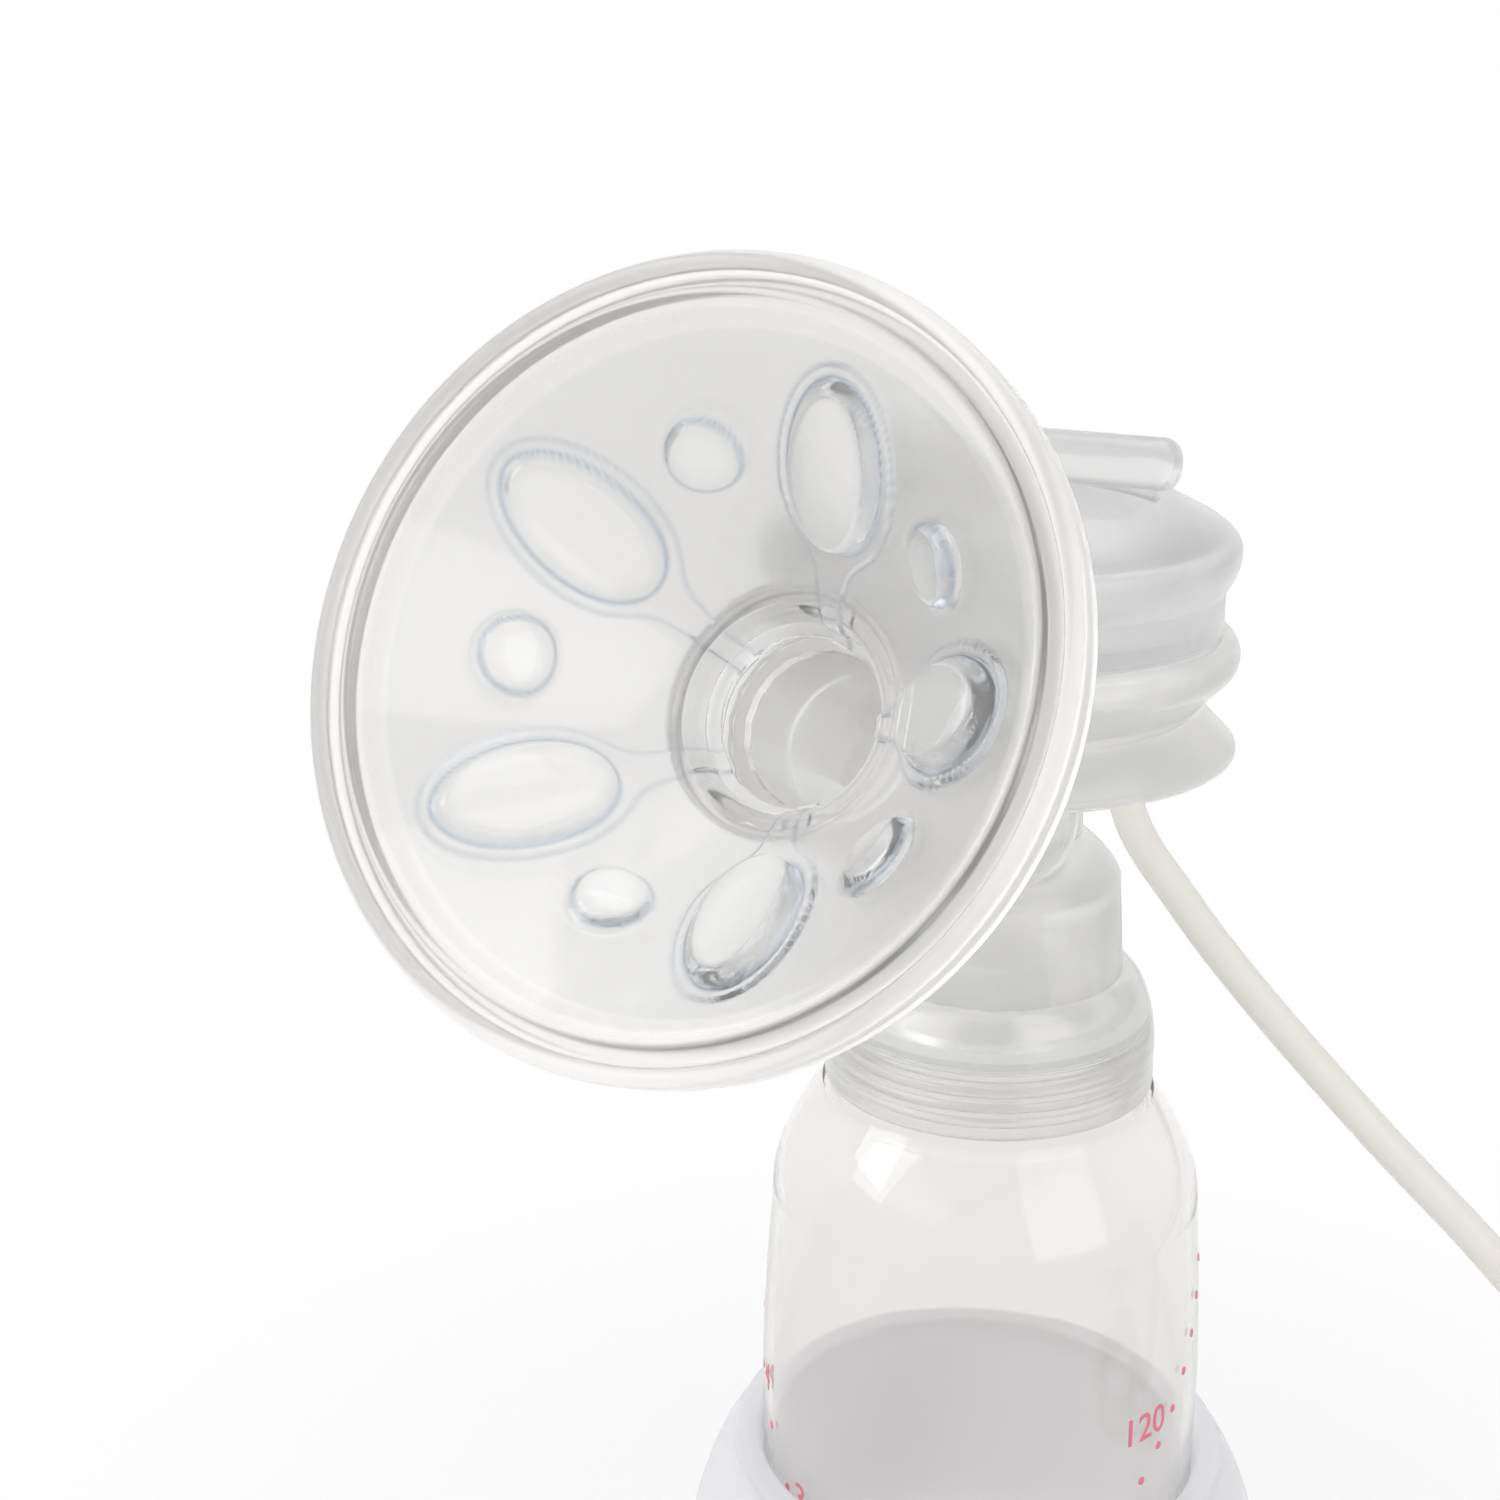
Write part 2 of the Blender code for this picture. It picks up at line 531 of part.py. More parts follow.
def massage_pad():
    """Soft cone with a rolled rim, a short sleeve and raised petals and dots round its hole."""
    bowl_rim, bowl_top, hole, slope = pad_lines()
    rim_in = PAD_RADIUS - PAD_RIM_WIDTH
    rim_round = PAD_RIM_WIDTH / 2
    groove = PAD_REACH - PAD_GROOVE_DEPTH
    sleeve_end = hole - PAD_SLEEVE_LENGTH
    behind = PAD_SKIN / math.cos(slope)
    corner = hole - (PAD_HOLE_RADIUS - PAD_SLEEVE_BORE) * math.tan(slope)
    fillet_low = Vector((PAD_SLEEVE_BORE, corner - PAD_FILLET))
    fillet_mid = Vector((PAD_SLEEVE_BORE, corner))
    fillet_high = fillet_mid + Vector((math.cos(slope), math.sin(slope))) * PAD_FILLET
    outline = [(PAD_SLEEVE_END_BORE, sleeve_end)] + arc_through(fillet_low, fillet_mid, fillet_high, 3)
    outline += [(bowl_rim, bowl_top), (bowl_rim + PAD_GROOVE_DEPTH / 2, groove), (rim_in, groove)]
    outline += quarter((PAD_RADIUS - rim_round, PAD_REACH - rim_round), rim_round, rim_round, 180.0, 0.0, 4)
    skirt_end = PAD_REACH - PAD_SKIRT
    outline += [(PAD_RADIUS, skirt_end), (rim_in, skirt_end), (rim_in, groove - PAD_SKIN)]
    outline += [(bowl_rim, bowl_top - behind), (PAD_HOLE_RADIUS, hole - behind)]
    outline.append((PAD_HOLE_RADIUS, sleeve_end))
    pad = along_tunnel(turned("massage_pad", outline, PARTS, SILICONE, closed=True, sides=FINE_SIDES))
    form = bmesh.new()
    for i in range(PETALS):
        turn = math.tau * i / PETALS
        dome(form, turn, PETAL_HALF_LENGTH, PETAL_HALF_WIDTH, PETAL_HEIGHT)
        dome(form, turn + math.pi / PETALS, DOT_RADIUS, DOT_RADIUS, DOT_HEIGHT)
    mesh = bpy.data.meshes.new("pad_domes")
    form.to_mesh(mesh)
    form.free()
    domes = place(bpy.data.objects.new("pad_domes", mesh), TOOLS)
    return combine(pad, along_tunnel(domes), "UNION")


def duckbill_valve():
    """Silicone sleeve of the duckbill valve, pushed over the milk pipe."""
    bore = PIPE_RADIUS + GAP
    outer = bore + VALVE_WALL
    top = VALVE_END + VALVE_HEIGHT
    foot = VALVE_END + VALVE_WALL
    outline = [(bore, top), (outer, top), (outer, foot), (outer - VALVE_WALL, VALVE_END)]
    outline += [(PIPE_BORE, VALVE_END), (PIPE_BORE, foot - GAP), (bore, foot - GAP)]
    return turned("duckbill_valve", outline, PARTS, SILICONE, closed=True, sides=SIDES // 2)


def valve_lip(name, side):
    """One flap of the duckbill, hinged at its top edge and meeting the other at the slit."""
    top = VALVE_END - GAP - LIP_THICKNESS / 2
    foot_y = (LIP_SLIT + LIP_THICKNESS) / 2
    top_y = PIPE_BORE - LIP_THICKNESS
    lean = math.asin((top_y - foot_y) / LIP_LENGTH)
    lip = block(name, (LIP_WIDTH, LIP_THICKNESS, LIP_LENGTH), (0.0, 0.0, 0.0), PARTS, SILICONE)
    lip.data.transform(Matrix.Translation((0.0, 0.0, -LIP_LENGTH / 2)))
    lip.location = (0.0, side * top_y, top)
    lip.rotation_euler = (-side * lean, 0.0, 0.0)
    return bevel(lip, LIP_ROUND)


def diaphragm():
    """Silicone diaphragm: a thick rim on the cup and a thin bowl that the suction draws up and down."""
    outer = CAP_SKIRT_RADIUS - CAP_WALL - GAP
    inner = outer - DIAPHRAGM_RIM_WIDTH
    low = CUP_TOP + GAP
    bowl = CUP_BORE - 2 * GAP
    top = low + DIAPHRAGM_RIM_HEIGHT
    floor = low - DIAPHRAGM_DEPTH
    skin = DIAPHRAGM_SKIN
    outline = [(0.0, floor + skin), (DIAPHRAGM_FLAT_RADIUS, floor + skin), (bowl - skin, low)]
    outline += [(inner, top), (outer, top), (outer, low), (bowl, low), (bowl - skin / 2, low - skin)]
    outline += [(DIAPHRAGM_FLAT_RADIUS + skin / 2, floor), (0.0, floor)]
    return turned("diaphragm", outline, PARTS, SILICONE)


def diaphragm_cap():
    """Domed cap over the diaphragm, with a grip bar on a web and the hose nozzle at the back."""
    outline = quarter((0.0, CAP_RIM_Z), CAP_RIM_RADIUS, CAP_DOME_HEIGHT, 90.0, 0.0, 8)
    outline[0] = (0.0, CAP_TOP)
    outline += [(CAP_RIM_RADIUS - GAP, CAP_RIM_Z - CAP_WALL), (CAP_SKIRT_RADIUS, CAP_BASE + CAP_SKIRT_HEIGHT)]
    inner = CAP_SKIRT_RADIUS - CAP_WALL
    outline += [(CAP_SKIRT_RADIUS, CAP_BASE), (inner, CAP_BASE), (inner, CAP_BASE + CAP_SKIRT_HEIGHT)]
    outline += quarter((0.0, CAP_RIM_Z), CAP_RIM_RADIUS - CAP_WALL, CAP_DOME_HEIGHT - CAP_WALL, 0.0, 90.0, 6)
    outline[-1] = (0.0, CAP_TOP - CAP_WALL)
    cap = turned("diaphragm_cap", outline, PARTS, BODY_PLASTIC)

    grip_z = CAP_TOP + GRIP_ABOVE_DOME
    left = Vector((-GRIP_REACH_LEFT, 0.0, grip_z))
    right = Vector((GRIP_REACH_RIGHT, 0.0, grip_z))
    grip = rod("grip_form", GRIP_RADIUS, left, right, TOOLS, sides=SIDES // 3)
    bevel(grip, GRIP_END_ROUND, 3)
    web_length = GRIP_REACH_LEFT + GRIP_REACH_RIGHT - 2 * WEB_INSET
    web_foot = CAP_TOP - CAP_DOME_HEIGHT / 2
    web_middle = Vector(((GRIP_REACH_RIGHT - GRIP_REACH_LEFT) / 2, 0.0, (grip_z + web_foot) / 2))
    web = block("web_form", (web_length, WEB_THICKNESS, grip_z - web_foot), web_middle, TOOLS)
    hollow = turned("cap_hollow", [(0.0, CAP_TOP - CAP_WALL)] + quarter(
        (0.0, CAP_RIM_Z), CAP_RIM_RADIUS - CAP_WALL, CAP_DOME_HEIGHT - CAP_WALL, 75.0, 0.0, 5)
        + [(0.0, CAP_RIM_Z)], TOOLS)
    combine(web, hollow, "DIFFERENCE")
    combine(cap, web, "UNION")
    combine(cap, grip, "UNION")

    boss_end = NOZZLE_ROOT + NOZZLE_DIRECTION * NOZZLE_LENGTH
    tip_end = boss_end + NOZZLE_DIRECTION * NOZZLE_TIP
    boss = rod("nozzle_form", NOZZLE_RADIUS, NOZZLE_ROOT, boss_end, TOOLS, sides=SIDES // 3)
    inside = rod("nozzle_inside", CAP_SKIRT_RADIUS - CAP_WALL, (0.0, 0.0, CAP_BASE - NOZZLE_RADIUS),
                 (0.0, 0.0, CAP_RIM_Z), TOOLS)
    combine(boss, inside, "DIFFERENCE")
    combine(cap, boss, "UNION")
    tip_root = boss_end - NOZZLE_DIRECTION * NOZZLE_RADIUS
    combine(cap, rod("nozzle_tip", NOZZLE_TIP_RADIUS, tip_root, tip_end, TOOLS, sides=SIDES // 3), "UNION")
    return cap


def spline_through(points, count):
    """Evenly spaced points on a smooth curve through the given ones (centripetal Catmull-Rom)."""
    points = [Vector(point) for point in points]
    points = [points[0] * 2 - points[1]] + points + [points[-1] * 2 - points[-2]]
    dense = []
    for before, first, second, after in zip(points, points[1:], points[2:], points[3:]):
        knots = [0.0]
        for a, b in ((before, first), (first, second), (second, after)):
            knots.append(knots[-1] + math.sqrt((b - a).length))
        for i in range(SPLINE_STEPS):
            t = knots[1] + (knots[2] - knots[1]) * i / SPLINE_STEPS
            dense.append(catmull(knots, (before, first, second, after), t))
    dense.append(points[-2])
    lengths = [0.0]
    for a, b in zip(dense, dense[1:]):
        lengths.append(lengths[-1] + (b - a).length)
    even = []
    place_on = 0
    for i in range(count):
        target = lengths[-1] * i / (count - 1)
        while place_on < len(dense) - 2 and lengths[place_on + 1] < target:
            place_on += 1
        step = (target - lengths[place_on]) / (lengths[place_on + 1] - lengths[place_on])
        even.append(dense[place_on].lerp(dense[place_on + 1], step))
    return even


def catmull(knots, four, t):
    def mix(a, b, low, high):
        share = (t - low) / (high - low)
        return a * (1 - share) + b * share

    first = mix(four[0], four[1], knots[0], knots[1])
    second = mix(four[1], four[2], knots[1], knots[2])
    third = mix(four[2], four[3], knots[2], knots[3])
    near = mix(first, second, knots[0], knots[2])
    far = mix(second, third, knots[1], knots[3])
    return mix(near, far, knots[1], knots[2])


def tube(name, points, resolution):
    curve = bpy.data.curves.new(name, "CURVE")
    curve.dimensions = "3D"
    curve.bevel_depth = HOSE_RADIUS
    curve.bevel_resolution = resolution
    curve.use_fill_caps = True
    line = curve.splines.new("POLY")
    line.points.add(len(points) - 1)
    for knot, point in zip(line.points, points):
        knot.co = (*point, 1.0)
    obj = bpy.data.objects.new(name, curve)
    place(obj, PARTS, HOSE_SILICONE)
    return obj


def hose():
    """Suction hose from the nozzle down to its coil on the table."""
    straight = HOSE_START + NOZZLE_DIRECTION * 2 * HOSE_RADIUS
    arrive = COIL_START - Vector((GAP, 0.0, 0.0))
    run_in = arrive - Vector((2 * HOSE_RADIUS, 0.0, 0.0))
    points = spline_through([HOSE_START, straight] + HOSE_ROUTE + [run_in, arrive], HOSE_STEPS)
    tube("hose", points, 2)
    return points


def ease(share):
    """Smooth step from 0 to 1."""
    share = min(max(share, 0.0), 1.0)
    return share * share * (3.0 - 2.0 * share)


def coil_points():
    """Two layers of loops: inwards on the table, up a layer in half a turn, outwards, then a tail."""
    centre = COIL_START + Vector((2 * HOSE_RADIUS, -COIL_RADIUS, 0.0))
    turns = COIL_TURNS_IN + COIL_CLIMB_TURN + COIL_TURNS_OUT
    count = round(turns * COIL_POINTS_PER_TURN)
    points = [COIL_START]
    for i in range(count + 1):
        turn = turns * i / count
        inwards = min(turn, COIL_TURNS_IN)
        outwards = max(turn - COIL_TURNS_IN - COIL_CLIMB_TURN, 0.0)
        climb = ease((turn - COIL_TURNS_IN) / COIL_CLIMB_TURN)
        radius = COIL_RADIUS - COIL_TURN_STEP * (inwards - outwards)
        angle = math.pi / 2 - math.tau * turn
        points.append(centre + Vector((radius * math.cos(angle), radius * math.sin(angle),
                                       COIL_LAYER_STEP * climb)))
    angle = math.pi / 2 - math.tau * turns
    heading = Vector((math.sin(angle), -math.cos(angle), 0.0))
    leave = points[-1].copy()
    fall = leave.z - CONNECTOR_RADIUS - GAP
    tail_steps = 10
    for i in range(1, tail_steps + 1):
        along = COIL_TAIL * i / tail_steps
        down = fall * ease((along - TAIL_LEVEL) / TAIL_FALL)
        points.append(leave + heading * along - Vector((0.0, 0.0, down)))
    return points, heading, centre


def least_gap(points):
    """Smallest clear distance between stretches of the tube that aren't neighbours along it."""
    skip = COIL_POINTS_PER_TURN // 3
    gap = 1.0
    for i in range(len(points)):
        for j in range(i + skip, len(points)):
            gap = min(gap, (points[i] - points[j]).length - 2 * HOSE_RADIUS)
    return gap


def hose_coil():
    points, heading, centre = coil_points()
    tube("hose_coil", points, 1)
    print("coil least gap %.2f mm" % (least_gap(points) / MM))
    return points, heading, centre


def hose_connector(end, heading):
    """Push-in connector on the hose's far end: a grip barrel and a nozzle."""
    start = end + heading * GAP
    middle = start + heading * CONNECTOR_LENGTH
    connector = rod("hose_connector", CONNECTOR_RADIUS, start, middle, PARTS, BODY_PLASTIC, sides=SIDES // 2)
    bevel(connector, CONNECTOR_ROUND)
    tip = middle + heading * CONNECTOR_NOZZLE_LENGTH
    root = middle - heading * CONNECTOR_RADIUS
    nozzle = rod("connector_nozzle", CONNECTOR_NOZZLE_RADIUS, root, tip, TOOLS, sides=SIDES // 3)
    return combine(connector, nozzle, "UNION")


def coil_tie(points, centre):
    """Flat strap round the coil's bundle of turns."""
    angle = math.pi / 2 - math.tau * TIE_TURN
    outward = Vector((math.cos(angle), math.sin(angle), 0.0))
    across = Vector((-outward.y, outward.x, 0.0))
    reaches = []
    heights = []
    for first, second in zip(points, points[1:]):
        for step in range(4):
            spot = first.lerp(second, step / 4) - centre
            if spot.dot(outward) > 0.0 and abs(spot.dot(across)) < TIE_WIDTH / 2 + HOSE_RADIUS:
                reaches.append(spot.dot(outward))
                heights.append(spot.z)
    room = 2 * (HOSE_RADIUS + GAP)
    inner_size = Vector((max(reaches) - min(reaches) + room, TIE_WIDTH, max(heights) - min(heights) + room))
    middle = centre + outward * (max(reaches) + min(reaches)) / 2
    middle.z += (max(heights) + min(heights)) / 2
    wrap = Vector((2 * TIE_THICKNESS, 0.0, 2 * TIE_THICKNESS))
    strap = block("coil_tie", inner_size + wrap, middle, PARTS, TIE_BAND)
    strap.rotation_euler = (0.0, 0.0, angle)
    inside = block("tie_inside", inner_size + Vector((0.0, TIE_WIDTH, 0.0)), middle, TOOLS)
    inside.rotation_euler = (0.0, 0.0, angle)
    return combine(strap, inside, "DIFFERENCE")


def path_length(points):
    return sum((b - a).length for a, b in zip(points, points[1:]))


clear_scene()
PARTS = new_collection("breast_pump")
TOOLS = new_collection("cutters")

STAND_PLASTIC = plastic("stand_plastic", (0.80, 0.80, 0.86), 0.35)
BOTTLE_PLASTIC = plastic("bottle_plastic", (0.86, 0.83, 0.80), 0.15, 0.45)
BODY_PLASTIC = plastic("body_plastic", (0.74, 0.75, 0.76), 0.22, 0.6)
SILICONE = plastic("clear_silicone", (0.80, 0.82, 0.84), 0.18, 0.5)
HOSE_SILICONE = plastic("hose_silicone", (0.83, 0.80, 0.76), 0.30, 0.8)
TIE_BAND = plastic("tie_band", (0.86, 0.86, 0.86), 0.70)

bottle_stand()
bottle()
collar_gasket()
pump_body()
tunnel_seal()
shield_funnel()
massage_pad()
duckbill_valve()
valve_lip("valve_lip_front", -1.0)
valve_lip("valve_lip_rear", 1.0)
diaphragm()
diaphragm_cap()
hose_line = hose()
coil_line, tail_heading, coil_centre = hose_coil()
hose_connector(coil_line[-1], tail_heading)
coil_tie(coil_line, coil_centre)
print("hose length %.3f m" % (path_length(hose_line) + path_length(coil_line)))

for part in PARTS.objects:
    if part.type == "MESH":
        smooth(part)
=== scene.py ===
import bpy
import math
from mathutils import Matrix, Vector


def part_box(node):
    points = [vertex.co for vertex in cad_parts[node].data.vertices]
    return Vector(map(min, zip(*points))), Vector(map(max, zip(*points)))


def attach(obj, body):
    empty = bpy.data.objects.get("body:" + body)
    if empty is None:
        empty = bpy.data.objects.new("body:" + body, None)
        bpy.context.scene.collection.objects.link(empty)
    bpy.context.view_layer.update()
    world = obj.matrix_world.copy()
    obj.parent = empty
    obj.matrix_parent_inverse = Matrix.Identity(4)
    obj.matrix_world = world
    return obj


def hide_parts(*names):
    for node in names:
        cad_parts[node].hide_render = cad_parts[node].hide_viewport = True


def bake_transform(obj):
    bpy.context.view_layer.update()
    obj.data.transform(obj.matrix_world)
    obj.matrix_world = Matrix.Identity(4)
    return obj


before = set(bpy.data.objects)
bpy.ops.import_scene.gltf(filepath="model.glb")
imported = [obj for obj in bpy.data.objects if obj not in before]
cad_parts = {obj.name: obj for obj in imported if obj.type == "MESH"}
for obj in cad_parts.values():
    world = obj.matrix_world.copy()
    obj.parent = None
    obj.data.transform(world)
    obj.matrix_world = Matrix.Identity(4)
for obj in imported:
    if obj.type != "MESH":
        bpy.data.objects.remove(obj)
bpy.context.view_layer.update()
mm = 0.001
gap = 0.3 * mm           # room between pieces that seat on each other
print("frame loaded, nodes:", len(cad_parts))

# tools that every piece uses

profileTools = dict(seed=1 * mm, shortest=1e-7, weld=2e-6)


def deselectAll():
    if bpy.context.mode != "OBJECT":
        bpy.ops.object.mode_set(mode="OBJECT")
    bpy.ops.object.select_all(action="DESELECT")


def pickOnly(piece):
    deselectAll()
    piece.select_set(True)
    bpy.context.view_layer.objects.active = piece


def applyPlace():
    bpy.ops.object.transform_apply(location=True, rotation=True, scale=True)


def easeStep(t):
    t = min(max(t, 0), 1)
    return t * t * (3 - 2 * t)


def arcPoints(centre, radiusOut, radiusUp, first, last, count):   # degrees from the outward direction
    points = []
    for i in range(count + 1):
        angle = math.radians(first + (last - first) * i / count)
        points.append((centre[0] + radiusOut * math.cos(angle), centre[1] + radiusUp * math.sin(angle)))
    return points


def bendPoints(start, pull, end, count):   # smooth bend that leaves and arrives towards pull
    points = []
    for i in range(count + 1):
        t = i / count
        points.append(tuple(a * (1 - t) ** 2 + p * 2 * t * (1 - t) + b * t * t
                            for a, p, b in zip(start, pull, end)))
    return points


def linePoints(start, end, count):
    return [tuple(a + (b - a) * i / count for a, b in zip(start, end)) for i in range(count + 1)]


def turnProfile(name, profile, steps, closed=False, smoothAngle=35.0):
    # one vertex of a small plane is pulled along the outline, then spun about Z
    deselectAll()
    bpy.ops.mesh.primitive_plane_add(size=profileTools["seed"], location=(0, 0, 0))
    piece = bpy.context.object
    piece.name = name
    bpy.ops.object.mode_set(mode="EDIT")
    bpy.ops.mesh.select_all(action="SELECT")
    bpy.ops.mesh.merge(type="CENTER")
    outline = list(profile) + ([profile[0]] if closed else [])
    bpy.ops.transform.translate(value=(outline[0][0], 0, outline[0][1]))
    for (r0, z0), (r1, z1) in zip(outline, outline[1:]):
        if abs(r1 - r0) + abs(z1 - z0) > profileTools["shortest"]:
            bpy.ops.mesh.extrude_region_move(TRANSFORM_OT_translate={"value": (r1 - r0, 0, z1 - z0)})
    bpy.ops.mesh.select_all(action="SELECT")
    bpy.ops.mesh.spin(steps=steps, angle=math.tau, center=(0, 0, 0), axis=(0, 0, 1))
    bpy.ops.mesh.select_all(action="SELECT")
    bpy.ops.mesh.remove_doubles(threshold=profileTools["weld"])
    bpy.ops.mesh.normals_make_consistent(inside=False)
    bpy.ops.object.mode_set(mode="OBJECT")
    bpy.ops.object.shade_smooth_by_angle(angle=math.radians(smoothAngle))
    return piece


def roundBar(name, radius, start, end, sides=64, endRound=0.0):
    deselectAll()
    start, end = Vector(start), Vector(end)
    bpy.ops.mesh.primitive_cylinder_add(vertices=sides, radius=radius, depth=(end - start).length)
    piece = bpy.context.object
    piece.name = name
    piece.matrix_world = Matrix.Translation((start + end) / 2) @ (
        Vector((0, 0, 1)).rotation_difference(end - start).to_matrix().to_4x4())
    applyPlace()
    if endRound > 0:
        roundEdges(piece, endRound, 5, 60)
    return piece


def ball(name, radius, place):
    deselectAll()
    bpy.ops.mesh.primitive_uv_sphere_add(segments=64, ring_count=32, radius=radius, location=place)
    piece = bpy.context.object
    piece.name = name
    return piece


def tubeAlong(name, points, radius, roundness):   # round tube on a line of points, still a curve
    curve = bpy.data.curves.new(name, "CURVE")
    curve.dimensions = "3D"
    curve.bevel_depth = radius
    curve.bevel_resolution = roundness
    curve.use_fill_caps = True
    spline = curve.splines.new("POLY")
    spline.points.add(len(points) - 1)
    for knot, point in zip(spline.points, points):
        knot.co = (*point, 1)
    spline.use_smooth = True
    tube = bpy.data.objects.new(name, curve)
    bpy.context.scene.collection.objects.link(tube)
    return tube


def roundEdges(piece, width, segments=3, limit=40):
    pickOnly(piece)
    step = piece.modifiers.new("Round", "BEVEL")
    step.width = width
    step.segments = segments
    step.limit_method = "ANGLE"
    step.angle_limit = math.radians(limit)
    bpy.ops.object.modifier_apply(modifier=step.name)


def joinOrCut(piece, tool, how):
    pickOnly(piece)
    step = piece.modifiers.new("Cut", "BOOLEAN")
    step.operation = how
    step.object = tool
    step.solver = "EXACT"
    bpy.ops.object.modifier_apply(modifier=step.name)
    bpy.data.objects.remove(tool, do_unlink=True)


def smoothShade(piece, angle):
    pickOnly(piece)
    bpy.ops.object.shade_smooth_by_angle(angle=math.radians(angle))


def wear(piece, material):
    piece.data.materials.clear()
    piece.data.materials.append(material)
    if material.name in finishes:   # lamps shine through clear walls
        piece.visible_shadow = finishes[material.name].get("shadow", False)


# finishes: clear and milky plastics with a fine moulded grain

finishes = {
    "padSilicone": dict(
        colour=(0.880, 0.875, 0.870), clear=0.93, rough=(0.045, 0.085), ior=1.41, bump=0.006, grain=900,
        # the dark line colour is painted shade along the petal edges, the dome colour is painted light on the
        # petals
        paintedShading=(0.40, 0.48, 0.57), dome=(0.99, 0.985, 0.98), rim=(0.92, 0.908, 0.892), rimRough=0.26),
    "sealSilicone": dict(
        colour=(0.945, 0.932, 0.915), clear=0.93, rough=(0.045, 0.085), ior=1.41, bump=0.006, grain=900),
    "shieldPlastic": dict(
        colour=(0.880, 0.878, 0.876), clear=0.92, rough=(0.14, 0.22), ior=1.45, bump=0.01, grain=600),
    "capPlastic": dict(
        colour=(0.825, 0.825, 0.822), clear=0.74, rough=(0.18, 0.28), ior=1.46, bump=0.02, grain=700),
    "bodyPlastic": dict(
        colour=(0.87, 0.866, 0.856), clear=0.76, rough=(0.20, 0.30), ior=1.46, bump=0.02, grain=700),
    "bottlePlastic": dict(
        colour=(0.925, 0.912, 0.902), clear=0.96, rough=(0.03, 0.07), ior=1.46, bump=0.01, grain=400),
    "valveSilicone": dict(
        colour=(0.80, 0.805, 0.81), clear=0.55, rough=(0.25, 0.35), ior=1.41, bump=0.02, grain=900),
    "hoseSilicone": dict(
        colour=(0.93, 0.905, 0.865), clear=0.45, rough=(0.20, 0.30), ior=1.41, bump=0.02, grain=900,
        shadow=True),
    "standPlastic": dict(
        colour=(0.92, 0.92, 0.94), clear=0.62, rough=(0.45, 0.55), ior=1.46, bump=0.01, grain=400),
}
grainLook = dict(cloud=45, cloudDetail=4, fineDetail=2, bumpDeep=0.2 * mm,
                 satinDetail=5, satinBump=0.03, satinStops=(0.3, 0.7))
paintedShadingMarks = dict(dome=0.4, face=0.5)   # stored on the pad's mesh: 0 on its rim, 0.5 on its face, 1 on the painted shade lines at the petal edges, 0.4 where the domes get painted light


def newMaterial(name):
    material = bpy.data.materials.new(name)
    material.use_nodes = True
    nodes, links = material.node_tree.nodes, material.node_tree.links
    return material, nodes, links, nodes["Principled BSDF"]


def mathNode(nodes, links, operation, first, second):   # second is an output or a plain number
    node = nodes.new("ShaderNodeMath")
    node.operation = operation
    links.new(first, node.inputs[0])
    if isinstance(second, float):
        node.inputs[1].default_value = second
    else:
        links.new(second, node.inputs[1])
    return node.outputs["Value"]


def rangeNode(nodes, links, value, between, results):
    node = nodes.new("ShaderNodeMapRange")
    for name, number in zip(("From Min", "From Max", "To Min", "To Max"), (*between, *results)):
        node.inputs[name].default_value = number
    links.new(value, node.inputs["Value"])
    return node


def noiseNode(nodes, links, place, scale, detail):
    node = nodes.new("ShaderNodeTexNoise")
    node.inputs["Scale"].default_value = scale
    node.inputs["Detail"].default_value = detail
    links.new(place.outputs["Object"], node.inputs["Vector"])
    return node.outputs["Fac"]


def bumpNode(nodes, links, height, strength):
    node = nodes.new("ShaderNodeBump")
    node.inputs["Strength"].default_value = strength
    node.inputs["Distance"].default_value = grainLook["bumpDeep"]
    links.new(height, node.inputs["Height"])
    return node.outputs["Normal"]


def moulded(name):
    look = finishes[name]
    material, nodes, links, shader = newMaterial(name)
    place = nodes.new("ShaderNodeTexCoord")
    cloud = noiseNode(nodes, links, place, grainLook["cloud"], grainLook["cloudDetail"])
    grain = noiseNode(nodes, links, place, look["grain"], grainLook["fineDetail"])
    rough = rangeNode(nodes, links, cloud, (0, 1), look["rough"]).outputs["Result"]
    shader.inputs["Base Color"].default_value = (*look["colour"], 1)
    shader.inputs["Transmission Weight"].default_value = look["clear"]
    shader.inputs["IOR"].default_value = look["ior"]
    if "paintedShading" in look:   # painted shade lines at the petal edges, painted light on the domes and a duller rim
        lines = nodes.new("ShaderNodeAttribute")
        lines.attribute_name = "paintedShading"
        tint = nodes.new("ShaderNodeValToRGB")
        tint.color_ramp.elements[0].color = (*look["rim"], 1)
        tint.color_ramp.elements[1].color = (*look["paintedShading"], 1)
        tint.color_ramp.elements.new(paintedShadingMarks["face"]).color = (*look["colour"], 1)
        tint.color_ramp.elements.new(paintedShadingMarks["dome"]).color = (*look["dome"], 1)
        links.new(lines.outputs["Fac"], tint.inputs["Fac"])
        links.new(tint.outputs["Color"], shader.inputs["Base Color"])
        dull = rangeNode(nodes, links, lines.outputs["Fac"], (0, paintedShadingMarks["dome"]), (look["rimRough"], 0))
        rough = mathNode(nodes, links, "ADD", dull.outputs["Result"], rough)
    links.new(rough, shader.inputs["Roughness"])
    links.new(bumpNode(nodes, links, grain, look["bump"]), shader.inputs["Normal"])
    return material


